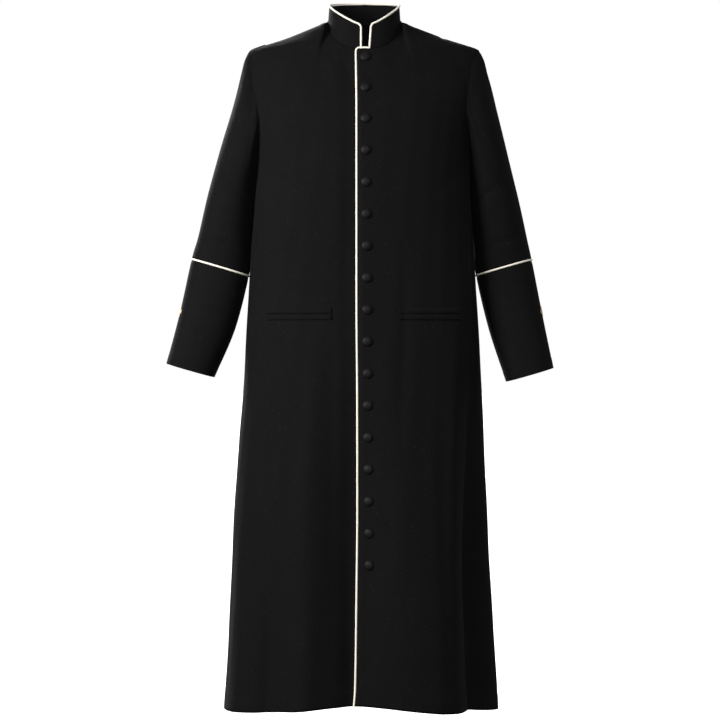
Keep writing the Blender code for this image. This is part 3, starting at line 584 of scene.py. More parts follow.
    def lower(self, panel: Panel, side: int, share: Array, rise: Array) -> tuple[Array, Array]:
        """Points on a panel between the hem (rise 0) and the underarm (rise 1).

        Args:
            panel: The panel.
            side: 1 on the wearer's left, -1 on their right.
            share: Shares of the way round to the side seam.
            rise: Shares of the way up.

        Returns:
            The points, and the directions that face out.
        """
        start = float(self.body.hem_height(0.0))
        edge = start + (self.underarm - start) * rise
        inner = self.body.turn_at(self.edge_x(panel, edge), edge) if panel.front else 180.0 + 0.0 * rise
        outer = 90.0 * side if panel.front else 180.0 - 90.0 * side
        turn = inner + (outer - inner) * share
        hem = self.body.hem_height(turn)
        return self.body.point(turn, hem + (self.underarm - hem) * rise)

    def upper(self, panel: Panel, side: int, share: Array, up: Array) -> tuple[Array, Array]:
        """Points on a panel between the underarm (up 0) and the neckline or shoulder seam (up 1).

        Args:
            panel: The panel.
            side: 1 on the wearer's left, -1 on their right.
            share: Shares of the way round to the side seam.
            up: Shares of the way up.

        Returns:
            The points, and the directions that face out.
        """
        share, up = np.broadcast_arrays(share, up)
        top, off, neck_turn = self.top(panel, side, share)
        crowding = (np.minimum(neck_turn, 180.0 - neck_turn) / 90.0) ** 2
        stepped = smooth_step(0.0, 1.0, up)
        rise = up + (stepped - up) * crowding
        low, _ = self.lower(panel, side, share, np.ones_like(share))
        height = self.underarm + (top[..., 2] - self.underarm) * rise
        x = low[..., 0] + (top[..., 0] - low[..., 0]) * rise
        if panel.front:
            foot = self.edge_x(panel, self.underarm)
            head = self.edge_x(panel, self.overlap_top)
            edge = self.underarm + (self.overlap_top - self.underarm) * up
            x = x + (self.edge_x(panel, edge) - (foot + (head - foot) * up)) * (1.0 - share) ** 12
        rim_turn, rim_height = self.rim(panel, up)
        rim, _ = self.body.point(side * rim_turn, rim_height)
        seam, _ = self.body.point(90.0 * side, self.underarm)
        straight = seam[0] + (self.neck.middle + side * self.tip_reach - seam[0]) * stepped
        x = x + (rim[..., 0] - straight) * share**3
        turn = self.body.turn_at(x, height)
        turn = turn if panel.front else 180.0 - turn
        point, facing = self.body.point(turn, height)
        return point + off * (rise**9)[..., None], facing

    def place(self, panel: Panel, side: int, share: Array, way: Array) -> Array:
        """Points on a panel's outer surface.

        Args:
            panel: The panel.
            side: 1 on the wearer's left, -1 on their right.
            share: Shares of the way round to the side seam.
            way: 0 at the hem, 1 at the underarm and 2 at the neckline or shoulder seam.

        Returns:
            The points.
        """
        share, way = np.broadcast_arrays(share, way)
        below = self.lower(panel, side, share, np.clip(way, 0.0, 1.0))
        above = self.upper(panel, side, share, np.clip(way - 1.0, 0.0, 1.0))
        high = (way > 1.0)[..., None]
        point = np.where(high, above[0], below[0])
        facing = np.where(high, above[1], below[1])
        if panel is Panel.FRONT_RIGHT:
            point = point - facing * (self.layer_drop * smooth_step(*self.sink_x, point[..., 0]))[..., None]
        point[..., 1] = np.minimum(point[..., 1], 0.0) if panel.front else np.maximum(point[..., 1], 0.0)
        return point


@dataclass
class SleeveForm:
    """One sleeve and its cuff, as slanted sections from the armhole to the cuff's end."""

    side: Side
    pattern: Pattern
    square: float = 2.3
    hug: float = 3.0
    tuck: float = 1.2
    strip: float = 2.0
    strip_station: float = 0.1
    cuff_seam: float = 8.0
    cuff_end: float = 10.0
    left: tuple[tuple[float, ...], ...] = (
        (244.0, -60.0, 222.6, -256.0, 0.0, 60.0, 1.0),
        (251.0, -76.0, 223.2, -264.0, 0.0, 62.0, 0.85),
        (258.5, -102.0, 223.4, -277.0, 2.0, 66.0, 0.62),
        (269.0, -140.0, 223.5, -292.0, 6.0, 71.0, 0.38),
        (282.0, -190.0, 223.4, -314.0, 12.0, 75.0, 0.15),
        (301.0, -268.0, 224.8, -350.0, 20.0, 76.0, 0.0),
        (323.0, -354.0, 228.0, -403.0, 26.0, 72.0, 0.0),
        (341.0, -437.0, 232.6, -473.0, 27.0, 64.0, 0.0),
        (352.0, -487.0, 236.6, -520.0, 24.0, 57.0, 0.0),
        (372.0, -597.0, 263.0, -633.0, 12.0, 53.0, 0.0),
        (394.0, -712.0, 298.0, -740.0, -2.0, 50.0, 0.0),
    )
    right: tuple[tuple[float, ...], ...] = (
        (236.0, -60.0, 218.6, -256.0, 0.0, 60.0, 1.0),
        (243.0, -76.0, 219.2, -264.0, 0.0, 62.0, 0.85),
        (250.5, -102.0, 219.4, -277.0, 2.0, 66.0, 0.62),
        (259.5, -140.0, 219.8, -292.0, 6.0, 71.0, 0.38),
        (274.0, -190.0, 219.8, -314.0, 12.0, 75.0, 0.15),
        (297.0, -266.0, 221.8, -350.0, 20.0, 76.0, 0.0),
        (321.0, -350.0, 226.2, -403.0, 26.0, 72.0, 0.0),
        (340.0, -434.0, 231.6, -473.0, 27.0, 64.0, 0.0),
        (355.0, -486.0, 236.4, -521.0, 24.0, 57.0, 0.0),
        (378.0, -597.0, 265.0, -633.0, 12.0, 53.0, 0.0),
        (404.0, -703.0, 307.0, -731.0, -2.0, 50.0, 0.0),
    )
    left_creases: tuple[Crease, ...] = (
        Crease(((122.0, -84.0), (108.0, -126.0), (113.0, -200.0), (126.0, -305.0)), 8.0, -5.0),
        Crease(((100.0, -80.0), (98.0, -120.0), (104.0, -190.0), (120.0, -290.0)), 10.0, 2.6),
        Crease(((78.0, -70.0), (86.0, -104.0)), 4.5, -1.8),
        Crease(((64.0, -74.0), (76.0, -118.0)), 4.5, -1.3),
        Crease(((60.0, -330.0), (100.0, -352.0), (150.0, -372.0)), 10.0, -2.6),
        Crease(((40.0, -440.0), (90.0, -452.0), (140.0, -486.0)), 9.0, -2.0),
        Crease(((250.0, -90.0), (240.0, -170.0), (228.0, -280.0)), 13.0, -4.0),
        Crease(((220.0, -370.0), (260.0, -390.0), (300.0, -380.0)), 12.0, -3.0),
        Crease(((210.0, -430.0), (250.0, -446.0), (290.0, -436.0)), 10.0, -2.4),
    )
    right_creases: tuple[Crease, ...] = (
        Crease(((132.0, -110.0), (128.0, -160.0), (130.0, -215.0)), 10.0, -3.6),
        Crease(((132.0, -188.0), (125.0, -216.0), (134.0, -300.0)), 6.0, -2.8),
        Crease(((98.0, -130.0), (112.0, -210.0), (130.0, -310.0)), 14.0, 2.2),
        Crease(((72.0, -340.0), (112.0, -358.0), (152.0, -376.0)), 10.0, -2.2),
        Crease(((50.0, -446.0), (96.0, -460.0), (142.0, -488.0)), 9.0, -1.8),
        Crease(((248.0, -100.0), (238.0, -180.0), (226.0, -290.0)), 13.0, -4.0),
        Crease(((224.0, -364.0), (262.0, -384.0), (298.0, -372.0)), 12.0, -3.0),
    )

    def sections(self, station: Array) -> Array:
        """The section at each station, which counts the table's rows and may lie between them."""
        table = np.array(self.left if self.side is Side.LEFT else self.right)
        index = np.minimum(len(table) - 2, station.astype(int))
        part = (station - index)[..., None]
        knots = [table[np.clip(index + k, 0, len(table) - 1)] for k in (-1, 0, 1, 2)]
        start, end = (knots[2] - knots[0]) / 2, (knots[3] - knots[1]) / 2
        rise = knots[2] - knots[1]
        bend = 3 * rise - 2 * start - end + part * (start + end - 2 * rise)
        return knots[1] + part * (start + part * bend)

    def plain(self, station: Array, turn: Array) -> Array:
        """Points on the plain sections. The turn is 0 at the outer side, 90 at the front and 180 at the body."""
        row = self.sections(station)
        across = power(np.cos(np.radians(turn)), 2.0 / self.square)
        along = power(np.sin(np.radians(turn)), 2.0 / self.square)
        x = (row[..., 0] + row[..., 2]) / 2 + (row[..., 0] - row[..., 2]) / 2 * across
        height = (row[..., 1] + row[..., 3]) / 2 + (row[..., 1] - row[..., 3]) / 2 * across
        return np.stack([self.side.value * x, row[..., 4] - row[..., 5] * along, height], -1)

    def rim(self, turn: Array) -> tuple[Array, Array, Array]:
        """The armhole's edge at each turn, the way out of the panel there, and the way that the panel faces."""
        sign = self.side.value
        away = np.abs(half_circle(turn))
        share = 1.0 - away / 180.0
        front = (turn % 360.0) <= 180.0
        high = smooth_step(0.6, 1.0, share)
        found = []
        for panel in (Panel(sign), Panel.BACK):
            edge = self.pattern.place(panel, sign, np.ones_like(share), 1.0 + share)
            rim_turn, height = self.pattern.rim(panel, share)
            inward = 4.0 * (1.0 - high) * (-1.0 if panel.front else 1.0)
            rim_turn = rim_turn if panel.front else 180.0 - rim_turn
            point, facing = self.pattern.body.point(sign * rim_turn, height)
            inside, _ = self.pattern.body.point(sign * (rim_turn + inward), height + 12.0 * high)
            found.append((edge, unit(point - inside), facing))
        return tuple(np.where(front[..., None], found[0][i], found[1][i]) for i in range(3))

    def smooth_place(self, station: Array, turn: Array) -> Array:
        """Points on the sleeve before its creases."""
        rim, way_out, facing = self.rim(np.asarray(turn, float))
        station, turn = np.broadcast_arrays(np.asarray(station, float), np.asarray(turn, float))
        point = self.plain(station, turn)
        share = np.maximum(0.0, self.sections(station)[..., 6])[..., None]
        low = smooth_step(0.3, 0.65, np.abs(half_circle(turn)) / 180.0)[..., None]
        away = (self.strip * np.minimum(1.0, station / self.strip_station) - self.tuck)[..., None]
        start = rim + way_out * away * (1.0 - low) - facing * self.tuck * low
        point = point + (start - self.plain(0.0 * station, turn)) * share
        close = smooth_step(-60.0, -15.0, -np.abs(turn % 360.0 - 180.0))
        close = close * smooth_step(1.0, 3.0, station) * (1.0 - smooth_step(5.5, 7.0, station))
        point[..., 0] -= self.side.value * self.hug * close
        return point

    def place(self, station: Array, turn: Array, lift: Any = 0.0) -> Array:
        """Points on the sleeve's outer surface.

        Args:
            station: Stations down the sleeve.
            turn: Turns round it.
            lift: How far off the surface each point is.

        Returns:
            The points.
        """
        station, turn = np.broadcast_arrays(np.asarray(station, float), np.asarray(turn, float))
        point = self.smooth_place(station, turn)
        around = self.smooth_place(station, turn + 2.0) - self.smooth_place(station, turn - 2.0)
        near = np.clip(station, 0.02, self.cuff_end - 0.02)
        down = self.smooth_place(near + 0.02, turn) - self.smooth_place(near - 0.02, turn)
        facing = self.side.value * unit(np.cross(around, down))
        push = np.zeros(station.shape)
        for crease in self.left_creases if self.side is Side.LEFT else self.right_creases:
            push += crease.push(turn % 360.0, point[..., 2], 1.35)
        fade = smooth_step(0.3, 1.2, station) * (1.0 - smooth_step(7.0, 7.9, station))
        ripple = 0.5 * np.sin(turn * 0.06 + station * 1.9) * np.sin(station * 1.3 - turn * 0.035)
        push = (push + ripple) * fade + np.asarray(lift)
        return point + facing * push[..., None]


class Shade:
    """A number that varies over a surface. Each operator on it adds a Math node."""

    def __init__(self, painter: "Painter", socket: bpy.types.NodeSocket) -> None:
        """Wrap a node's output."""
        self.painter = painter
        self.socket = socket

    def __add__(self, other: Any) -> "Shade":
        """Add."""
        return self.painter.maths("ADD", self, other)

    __radd__ = __add__

    def __sub__(self, other: Any) -> "Shade":
        """Subtract."""
        return self.painter.maths("SUBTRACT", self, other)

    def __rsub__(self, other: Any) -> "Shade":
        """Subtract from a number."""
        return self.painter.maths("SUBTRACT", other, self)

    def __mul__(self, other: Any) -> "Shade":
        """Multiply."""
        return self.painter.maths("MULTIPLY", self, other)

    __rmul__ = __mul__

    def __truediv__(self, other: Any) -> "Shade":
        """Divide."""
        return self.painter.maths("DIVIDE", self, other)

    def __pow__(self, other: Any) -> "Shade":
        """Raise to a power."""
        return self.painter.maths("POWER", self, other)

    def sine(self) -> "Shade":
        """The sine of it."""
        return self.painter.maths("SINE", self)

    def size(self) -> "Shade":
        """Its distance from zero."""
        return self.painter.maths("ABSOLUTE", self)

    def over(self, limit: float) -> "Shade":
        """1 where it is greater than a limit, and 0 elsewhere."""
        return self.painter.maths("GREATER_THAN", self, limit)


class Painter:
    """Builds the nodes of one material."""

    def __init__(self, name: str) -> None:
        """Start a material that holds only a Principled shader."""
        self.material = bpy.data.materials.new(name)
        self.material.use_nodes = True
        self.tree = self.material.node_tree
        self.shader = self.tree.nodes["Principled BSDF"]

    def node(self, kind: str, settings: dict[str, Any], sockets: dict[Any, Any]) -> bpy.types.Node:
        """Add a node.

        Args:
            kind: The node's type.
            settings: Its settings, which are set first.
            sockets: Values or links of its inputs, by name or number.

        Returns:
            The node.
        """
        node = self.tree.nodes.new(kind)
        for key, value in settings.items():
            setattr(node, key, value)
        for key, value in sockets.items():
            if isinstance(value, Shade):
                self.tree.links.new(value.socket, node.inputs[key])
            elif isinstance(value, bpy.types.NodeSocket):
                self.tree.links.new(value, node.inputs[key])
            else:
                node.inputs[key].default_value = value
        return node

    def maths(self, operation: str, *values: Any) -> Shade:
        """Add a Math node."""
        node = self.node("ShaderNodeMath", {"operation": operation}, dict(enumerate(values)))
        return Shade(self, node.outputs[0])

    def place(self) -> tuple[bpy.types.NodeSocket, Shade, Shade]:
        """The cloth's own coordinates in metres, as one vector and as its across and along parts."""
        node = self.node("ShaderNodeUVMap", {"uv_map": "Cloth"}, {})
        parts = self.node("ShaderNodeSeparateXYZ", {}, {0: node.outputs[0]})
        return node.outputs[0], Shade(self, parts.outputs[0]), Shade(self, parts.outputs[1])

    def noise(self, vector: bpy.types.NodeSocket, scale: float, detail: float = 2.0) -> Shade:
        """Soft random patches, from 0 to 1, with this many to the metre."""
        sockets = {"Vector": vector, "Scale": scale, "Detail": detail}
        return Shade(self, self.node("ShaderNodeTexNoise", {}, sockets).outputs["Fac"])

    def position(self) -> bpy.types.NodeSocket:
        """Where a point is on the object, in metres."""
        return self.node("ShaderNodeTexCoord", {}, {}).outputs["Object"]

    def blend(self, factor: Shade, first: Sequence[float], second: Sequence[float]) -> bpy.types.NodeSocket:
        """Mix two colours.

        Args:
            factor: The share of the second colour.
            first: The first colour.
            second: The second colour.

        Returns:
            The mixed colour's socket.
        """
        sockets = {0: factor, 6: (*first, 1.0), 7: (*second, 1.0)}
        return self.node("ShaderNodeMix", {"data_type": "RGBA"}, sockets).outputs[2]

    def bump(self, height: Shade, strength: float, depth: float) -> None:
        """Raise the surface by a height, where 1 is this depth in metres."""
        sockets = {"Strength": strength, "Distance": depth, "Height": height}
        node = self.node("ShaderNodeBump", {}, sockets)
        self.tree.links.new(node.outputs[0], self.shader.inputs["Normal"])

    def set(self, **values: Any) -> None:
        """Set or link the shader's own sockets, named with _ for a space."""
        for key, value in values.items():
            socket = self.shader.inputs[key.replace("_", " ")]
            if isinstance(value, (Shade, bpy.types.NodeSocket)):
                self.tree.links.new(value.socket if isinstance(value, Shade) else value, socket)
            else:
                socket.default_value = value


@dataclass(frozen=True)
class Suiting:
    """Matt black wool-blend suiting with a fine twill, a little lint and a soft bloom at its edges."""

    dark: tuple[float, float, float] = (0.0026, 0.0026, 0.0027)
    light: tuple[float, float, float] = (0.0047, 0.0046, 0.0047)
    twill: float = 0.0011
    sheen: float = 0.011
    stitch: float = 0.0042
    hem_depth: float = 0.030

    def make(self, name: str, stitched: bool = True) -> bpy.types.Material:
        """Make the material.

        Args:
            name: The material's name.
            stitched: Whether a row of hem stitches shows.

        Returns:
            The material.
        """
        paint = Painter(name)
        vector, across, along = paint.place()
        rib = ((across + along) * (2.0 * math.pi / self.twill)).sine() * 0.5 + 0.5
        thread = ((across - along * 0.35) * (2.0 * math.pi / (self.twill * 0.55))).sine() * 0.5 + 0.5
        slub = paint.noise(vector, 900.0, 3.0)
        patch = paint.noise(paint.position(), 16.0, 3.0)
        lint = paint.noise(paint.position(), 420.0, 1.0).over(0.735)
        tone = patch * 0.55 + slub * 0.25 + rib * 0.2
        colour = paint.blend(tone, self.dark, self.light)
        sockets = {0: lint * 0.35, 6: colour, 7: (0.05, 0.048, 0.045, 1.0)}
        dusty = paint.node("ShaderNodeMix", {"data_type": "RGBA"}, sockets).outputs[2]
        height = rib * 0.55 + thread * rib * 0.25 + slub * 0.35 + patch * 1.4
        if stitched:
            dash = (across * (2.0 * math.pi / self.stitch)).sine().over(0.1)
            row = 1.0 - (along - self.hem_depth).size().over(0.0009)
            height = height - row * dash * 2.2
        paint.bump(height, 0.35, 0.00022)
        paint.set(Base_Color=dusty, Roughness=slub * 0.12 + 0.78)
        paint.set(Specular_IOR_Level=0.07, Sheen_Weight=self.sheen, Sheen_Roughness=0.45)
        paint.set(Sheen_Tint=(0.92, 0.95, 1.0, 1.0))
        return paint.material


@dataclass(frozen=True)
class ButtonSatin:
    """Black satin stretched over a button."""

    dark: tuple[float, float, float] = (0.0022, 0.0022, 0.0023)
    light: tuple[float, float, float] = (0.0052, 0.0051, 0.0052)

    def make(self, name: str) -> bpy.types.Material:
        """Make the material."""
        paint = Painter(name)
        place = paint.position()
        parts = paint.node("ShaderNodeSeparateXYZ", {}, {0: place})
        x, z = Shade(paint, parts.outputs[0]), Shade(paint, parts.outputs[2])
        weave = (x * 9000.0).sine() * (z * 9000.0).sine() * 0.5 + 0.5
        cloud = paint.noise(place, 180.0, 2.0)
        paint.bump(weave * 0.5 + cloud * 1.2, 0.3, 0.00015)
        paint.set(Base_Color=paint.blend(cloud * 0.7 + weave * 0.3, self.dark, self.light))
        paint.set(Roughness=cloud * 0.14 + 0.48, Specular_IOR_Level=0.14, Sheen_Weight=0.012)
        return paint.material


@dataclass(frozen=True)
class PipingSatin:
    """Ivory bias-cut satin wrapped round a filler cord, with random patches of a painted ochre shade tone."""

    # shade is a painted shade tone, the ochre that the ivory shows where it turns from the light; bright is its lit
    # tone.
    shade: tuple[float, float, float] = (0.72, 0.63, 0.48)
    bright: tuple[float, float, float] = (0.93, 0.89, 0.79)

    def make(self, name: str) -> bpy.types.Material:
        """Make the material."""
        paint = Painter(name)
        vector, across, along = paint.place()
        slant = ((across + along) * (2.0 * math.pi / 0.0009)).sine() * 0.5 + 0.5
        puckers = paint.noise(vector, 240.0, 2.0)
        # Painted shade in random patches: this noise mixes in the ochre shade tone, which stands for the piping's
        # shadowed turns and not for dirt.
        shade_patches = paint.noise(paint.position(), 30.0, 3.0)
        tone = shade_patches * 0.45 + puckers * 0.2 + slant * 0.15 + 0.3
        paint.bump(slant * 0.4 + puckers * 1.3, 0.5, 0.0003)
        paint.set(Base_Color=paint.blend(tone, self.shade, self.bright))
        paint.set(Roughness=puckers * 0.2 + 0.38, Specular_IOR_Level=0.35, Sheen_Weight=0.15)
        return paint.material


@dataclass(frozen=True)
class CrossThread:
    """Tan embroidery thread in close satin stitches."""

    dark: tuple[float, float, float] = (0.36, 0.22, 0.11)
    light: tuple[float, float, float] = (0.74, 0.55, 0.35)

    def make(self, name: str) -> bpy.types.Material:
        """Make the material."""
        paint = Painter(name)
        vector, across, along = paint.place()
        strand = (along * (2.0 * math.pi / 0.0007)).sine() * 0.5 + 0.5
        uneven = paint.noise(vector, 700.0, 2.0)
        paint.bump(strand + uneven * 0.6, 0.6, 0.0003)
        paint.set(Base_Color=paint.blend(strand * 0.5 + uneven * 0.5, self.dark, self.light))
        paint.set(Roughness=uneven * 0.2 + 0.42, Specular_IOR_Level=0.4, Sheen_Weight=0.1)
        return paint.material


def lay_cloth(mesh: bpy.types.Mesh, flat: Array, columns: int, round_wrap: float, end_wrap: float) -> None:
    """Give a grid's mesh the cloth's own coordinates.

    Args:
        mesh: The mesh.
        flat: The coordinates of each point, in millimetres.
        columns: How many points each row has.
        round_wrap: How far on the first column is again, where the last one joins it.
        end_wrap: How far on the first row is again, where the last one joins it.
    """
    count = len(mesh.loops)
    corners, starts = np.empty(count, np.int32), np.empty(len(mesh.polygons), np.int32)
    mesh.loops.foreach_get("vertex_index", corners)
    mesh.polygons.foreach_get("loop_start", starts)
    sizes = np.diff(np.append(starts, count))
    values = flat[np.minimum(corners, len(flat) - 1)].copy()
    rows = len(flat) // columns
    for axis, place, last, wrap in (
        (0, corners % columns, columns - 1, round_wrap),
        (1, corners // columns, rows - 1, end_wrap),
    ):
        low = np.repeat(np.minimum.reduceat(place, starts), sizes)
        high = np.repeat(np.maximum.reduceat(place, starts), sizes)
        values[:, axis] += np.where((low == 0) & (high == last) & (place == 0), wrap, 0.0)
    layer = mesh.uv_layers.new(name="Cloth")
    layer.data.foreach_set("uv", (values * MM).astype(np.float32).ravel())


def carried(ahead: Array) -> Array:
    """A direction across a path at each of its points, carried along it without twisting."""
    sides = [unit(np.cross(ahead[0], np.array([0.3, 0.2, 0.93])))]
    for way in ahead[1:]:
        sides.append(unit(sides[-1] - way * (sides[-1] @ way)))
    return np.array(sides)


def add_mesh(name: str, points: Array, faces: list[list[int]]) -> bpy.types.Object:
    """Make a smooth object.

    Args:
        name: Its name.
        points: Its points, in millimetres.
        faces: Its faces.

    Returns:
        The object.
    """
    mesh = bpy.data.meshes.new(name)
    mesh.from_pydata((points.reshape(-1, 3) * MM).tolist(), [], faces)
    mesh.shade_smooth()
    obj = bpy.data.objects.new(name, mesh)
    bpy.context.scene.collection.objects.link(obj)
    return obj


def grid_piece(name: str, points: Array, cloth: Array, wall: float, flip: bool, tube: bool = False) -> bpy.types.Object:
    """Make a walled piece of cloth from a grid of points.

    Args:
        name: The piece's name.
        points: Points by row and column, in millimetres, on its outer side.
        cloth: The cloth's own coordinates at each point, in millimetres.
        wall: How thick the cloth is; it is laid to the inner side, or the outer one if negative.
        flip: Whether the grid's faces are turned over to face out.
        tube: Whether the last column joins the first.

    Returns:
        The object.
    """
    rows, columns = points.shape[:2]
    index = np.arange(rows * columns).reshape(rows, columns)
    right = np.roll(index, -1, axis=1) if tube else index[:, 1:]
    left = index if tube else index[:, :-1]
    faces = np.stack([left[:-1], right[:-1], right[1:], left[1:]], -1).reshape(-1, 4)
    if flip:
        faces = faces[:, ::-1]
    obj = add_mesh(name, points, faces.tolist())
    flat = cloth.reshape(-1, 2)
    lay_cloth(obj.data, flat, columns, float(flat[1, 0] - flat[0, 0]) * columns if tube else 0.0, 0.0)
    solidify = obj.modifiers.new("Cloth wall", "SOLIDIFY")
    solidify.thickness = abs(wall) * MM
    solidify.offset = -1.0 if wall > 0.0 else 1.0
    return obj


def tube_piece(name: str, path: Array, radius: float, closed: bool, around: int = 12) -> bpy.types.Object:
    """Make a round padded tube along a path.

    Args:
        name: The piece's name.
        path: Points along its middle, in millimetres.
        radius: Its radius.
        closed: Whether its ends meet.
        around: How many sides it has.

    Returns:
        The object.
    """
    ahead = np.roll(path, -1, axis=0) - np.roll(path, 1, axis=0)
    if not closed:
        ahead[0], ahead[-1] = path[1] - path[0], path[-1] - path[-2]
    ahead = unit(ahead)
    side = carried(ahead)
    other = np.cross(ahead, side)
    angles = np.linspace(0.0, 2.0 * np.pi, around, endpoint=False)
    ring = side[:, None] * np.cos(angles)[None, :, None] + other[:, None] * np.sin(angles)[None, :, None]
    lengths = np.concatenate([[0.0], np.cumsum(np.linalg.norm(np.diff(path, axis=0), axis=1))])
    puff = 1.0 + 0.03 * np.sin(lengths * 0.9) * np.sin(lengths * 0.23)
    points = path[:, None] + ring * radius * puff[:, None, None]
    count = len(path)
    index = np.arange(count * around).reshape(count, around)
    ahead_rows = np.roll(index, -1, axis=0) if closed else index[1:]
    rows = index if closed else index[:-1]
    faces = np.stack([rows, np.roll(rows, -1, 1), np.roll(ahead_rows, -1, 1), ahead_rows], -1).reshape(-1, 4)
    sides = faces.tolist()
    if not closed:
        sides += [index[0][::-1].tolist(), index[-1].tolist()]
    obj = add_mesh(name, points, sides)
    girth = 2.0 * np.pi * radius
    wrap = np.broadcast_to(np.arange(around) * girth / around, (count, around))
    along = np.broadcast_to(lengths[:, None], (count, around))
    length = float(lengths[-1] + np.linalg.norm(path[0] - path[-1])) if closed else 0.0
    lay_cloth(obj.data, np.stack([wrap, along], -1).reshape(-1, 2), around, girth, length)
    return obj


def settle(obj: bpy.types.Object, material: bpy.types.Material, slot: str, *nodes: str) -> bpy.types.Object:
    """Dress a piece and join it to the frame.

    Args:
        obj: The piece.
        material: Its finish.
        slot: The record's material slot; it is not used.
        nodes: The frame's nodes that it stands for.

    Returns:
        The same piece.
    """
    obj.data.materials.append(material)
    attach(obj, "root")
    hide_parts(*nodes)
    LOG.info("%s: %d points", obj.name, len(obj.data.vertices))
    return obj


def distances(points: Array, axis: int) -> Array:
    """How far each point lies along its row or column of a grid."""
    steps = np.linalg.norm(np.diff(points, axis=axis), axis=-1)
    first = np.zeros_like(np.take(steps, [0], axis=axis))
    return np.cumsum(np.concatenate([first, steps], axis=axis), axis=axis)


@dataclass
class Body:
    """The two fronts and the back."""

    pattern: Pattern
    cloth: Suiting = field(default_factory=Suiting)
    wall: float = 1.9
    hem_depth: float = 30.0
    columns: int = 72
    lower_rows: int = 190
    upper_rows: int = 64
    cuts: dict[Panel, tuple[float, float, float]] = field(
        default_factory=lambda: {
            Panel.FRONT_LEFT: (0.36, 1.38, 0.46),
            Panel.FRONT_RIGHT: (0.38, 1.38, 0.48),
            Panel.BACK: (0.72, 1.45, 0.90),
        }
    )

    def grid(self, panel: Panel, side: int) -> Array:
        """The grid of one panel, or of one half of the back.

        Args:
            panel: The panel.
            side: 1 on the wearer's left, -1 on their right.

        Returns:
            The points by row and column.
        """
        shares = np.linspace(0.0, 1.0, self.columns)
        lower = np.linspace(0.0, 1.0, self.lower_rows)
        step = 1.0 / self.upper_rows
        ends = np.array([0.98, 0.99, 0.996, 1.0])
        upper = 1.0 + np.concatenate([np.arange(1, self.upper_rows - 1) * step, ends])
        way = np.concatenate([lower, upper])
        return self.pattern.place(panel, side, shares[None, :], way[:, None])

    def seam_dip(self, points: Array, panel: Panel, flip: bool) -> Array:
        """Points with the cloth drawn in beside its seams and thickened a little at its hem.

        Args:
            points: The grid.
            panel: The panel.
            flip: Whether the grid's faces are turned over to face out.

        Returns:
            The new grid.
        """
        around = unit(np.gradient(points, axis=1))
        up = unit(np.gradient(points, axis=0))
        facing = unit(np.cross(around, up)) * (-1.0 if flip else 1.0)
        down = distances(points, 0)
        to_top = down[-1:] - down
        across = distances(points, 1)
        to_side = np.minimum(across[:, -1:] - across, 1e3 if panel.front else across)
        dip = -0.8 * np.exp(-((to_side / 3.4) ** 2)) - 1.3 * np.exp(-((to_top / 3.6) ** 2))
        hem = 0.45 * (1.0 - smooth_step(self.hem_depth - 2.0, self.hem_depth + 2.5, down))
        return points + facing * (dip + hem)[..., None]

    def build(self) -> dict[Panel, bpy.types.Object]:
        """Make the three panels.

        Returns:
            The pieces by panel.
        """
        pieces = {}
        for panel in Panel:
            if panel.front:
                points = self.grid(panel, panel.value)
            else:
                points = np.concatenate([self.grid(panel, -1)[:, ::-1], self.grid(panel, 1)[:, 1:]], axis=1)
            flip = panel is not Panel.FRONT_LEFT
            points = self.seam_dip(points, panel, flip)
            across, down = distances(points, 1), distances(points, 0)
            middle = 0.0 if panel.front else across[:, across.shape[1] // 2][:, None]
            cloth = np.stack([across - middle, down], -1)
            name = panel.name.lower()
            obj = grid_piece(f"cloth_{name}", points, cloth, self.wall, flip)
            settle(obj, self.cloth.make(f"Suiting {name}"), "cloth", name)
            pieces[panel] = obj
        return pieces


@dataclass
class Collar:
    """The stand collar with its piping."""

    neck: NeckForm
    overlap_top: float = -63.3
    wall: float = 2.8
    rows: int = 22
    piping_radius: float = 2.0
    piping_offset: float = 2.4

    def build(self, cloth: Suiting, piping: PipingSatin) -> None:
        """Make the collar and its piping.

        Args:
            cloth: The finish of the collar.
            piping: The finish of its piping.
        """
        outline = self.neck.outline(0.0)
        base = self.neck.base(np.abs(half_circle(outline[:, 0])))
        rise = np.linspace(0.0, 1.0, self.rows)[:, None]
        heights = base[None] + (outline[:, 1] - base)[None] * rise
        points = self.neck.collar_point(outline[None, :, 0] + 0.0 * heights, heights)
        cloth_place = np.stack([distances(points, 1), distances(points, 0)], -1)
        obj = grid_piece("cloth_collar", points, cloth_place, self.wall, False)
        settle(obj, cloth.make("Suiting collar", stitched=False), "cloth", "collar")
        foot = self.overlap_top + self.piping_offset + self.piping_radius + 0.4
        path = self.neck.outline(self.piping_offset, 220)
        legs = []
        for end in (path[0], path[-1]):
            heights = np.linspace(foot, end[1], 16)
            legs.append(np.stack([np.full(16, end[0]), heights], -1)[:-1])
        path = np.concatenate([legs[0], path, legs[1][::-1]])
        line = self.neck.collar_point(path[:, 0], path[:, 1])
        settle(
            tube_piece("piping_collar", line, self.piping_radius, False),
            piping.make("Piping collar"),
            "piping",
            "collar_piping",
        )


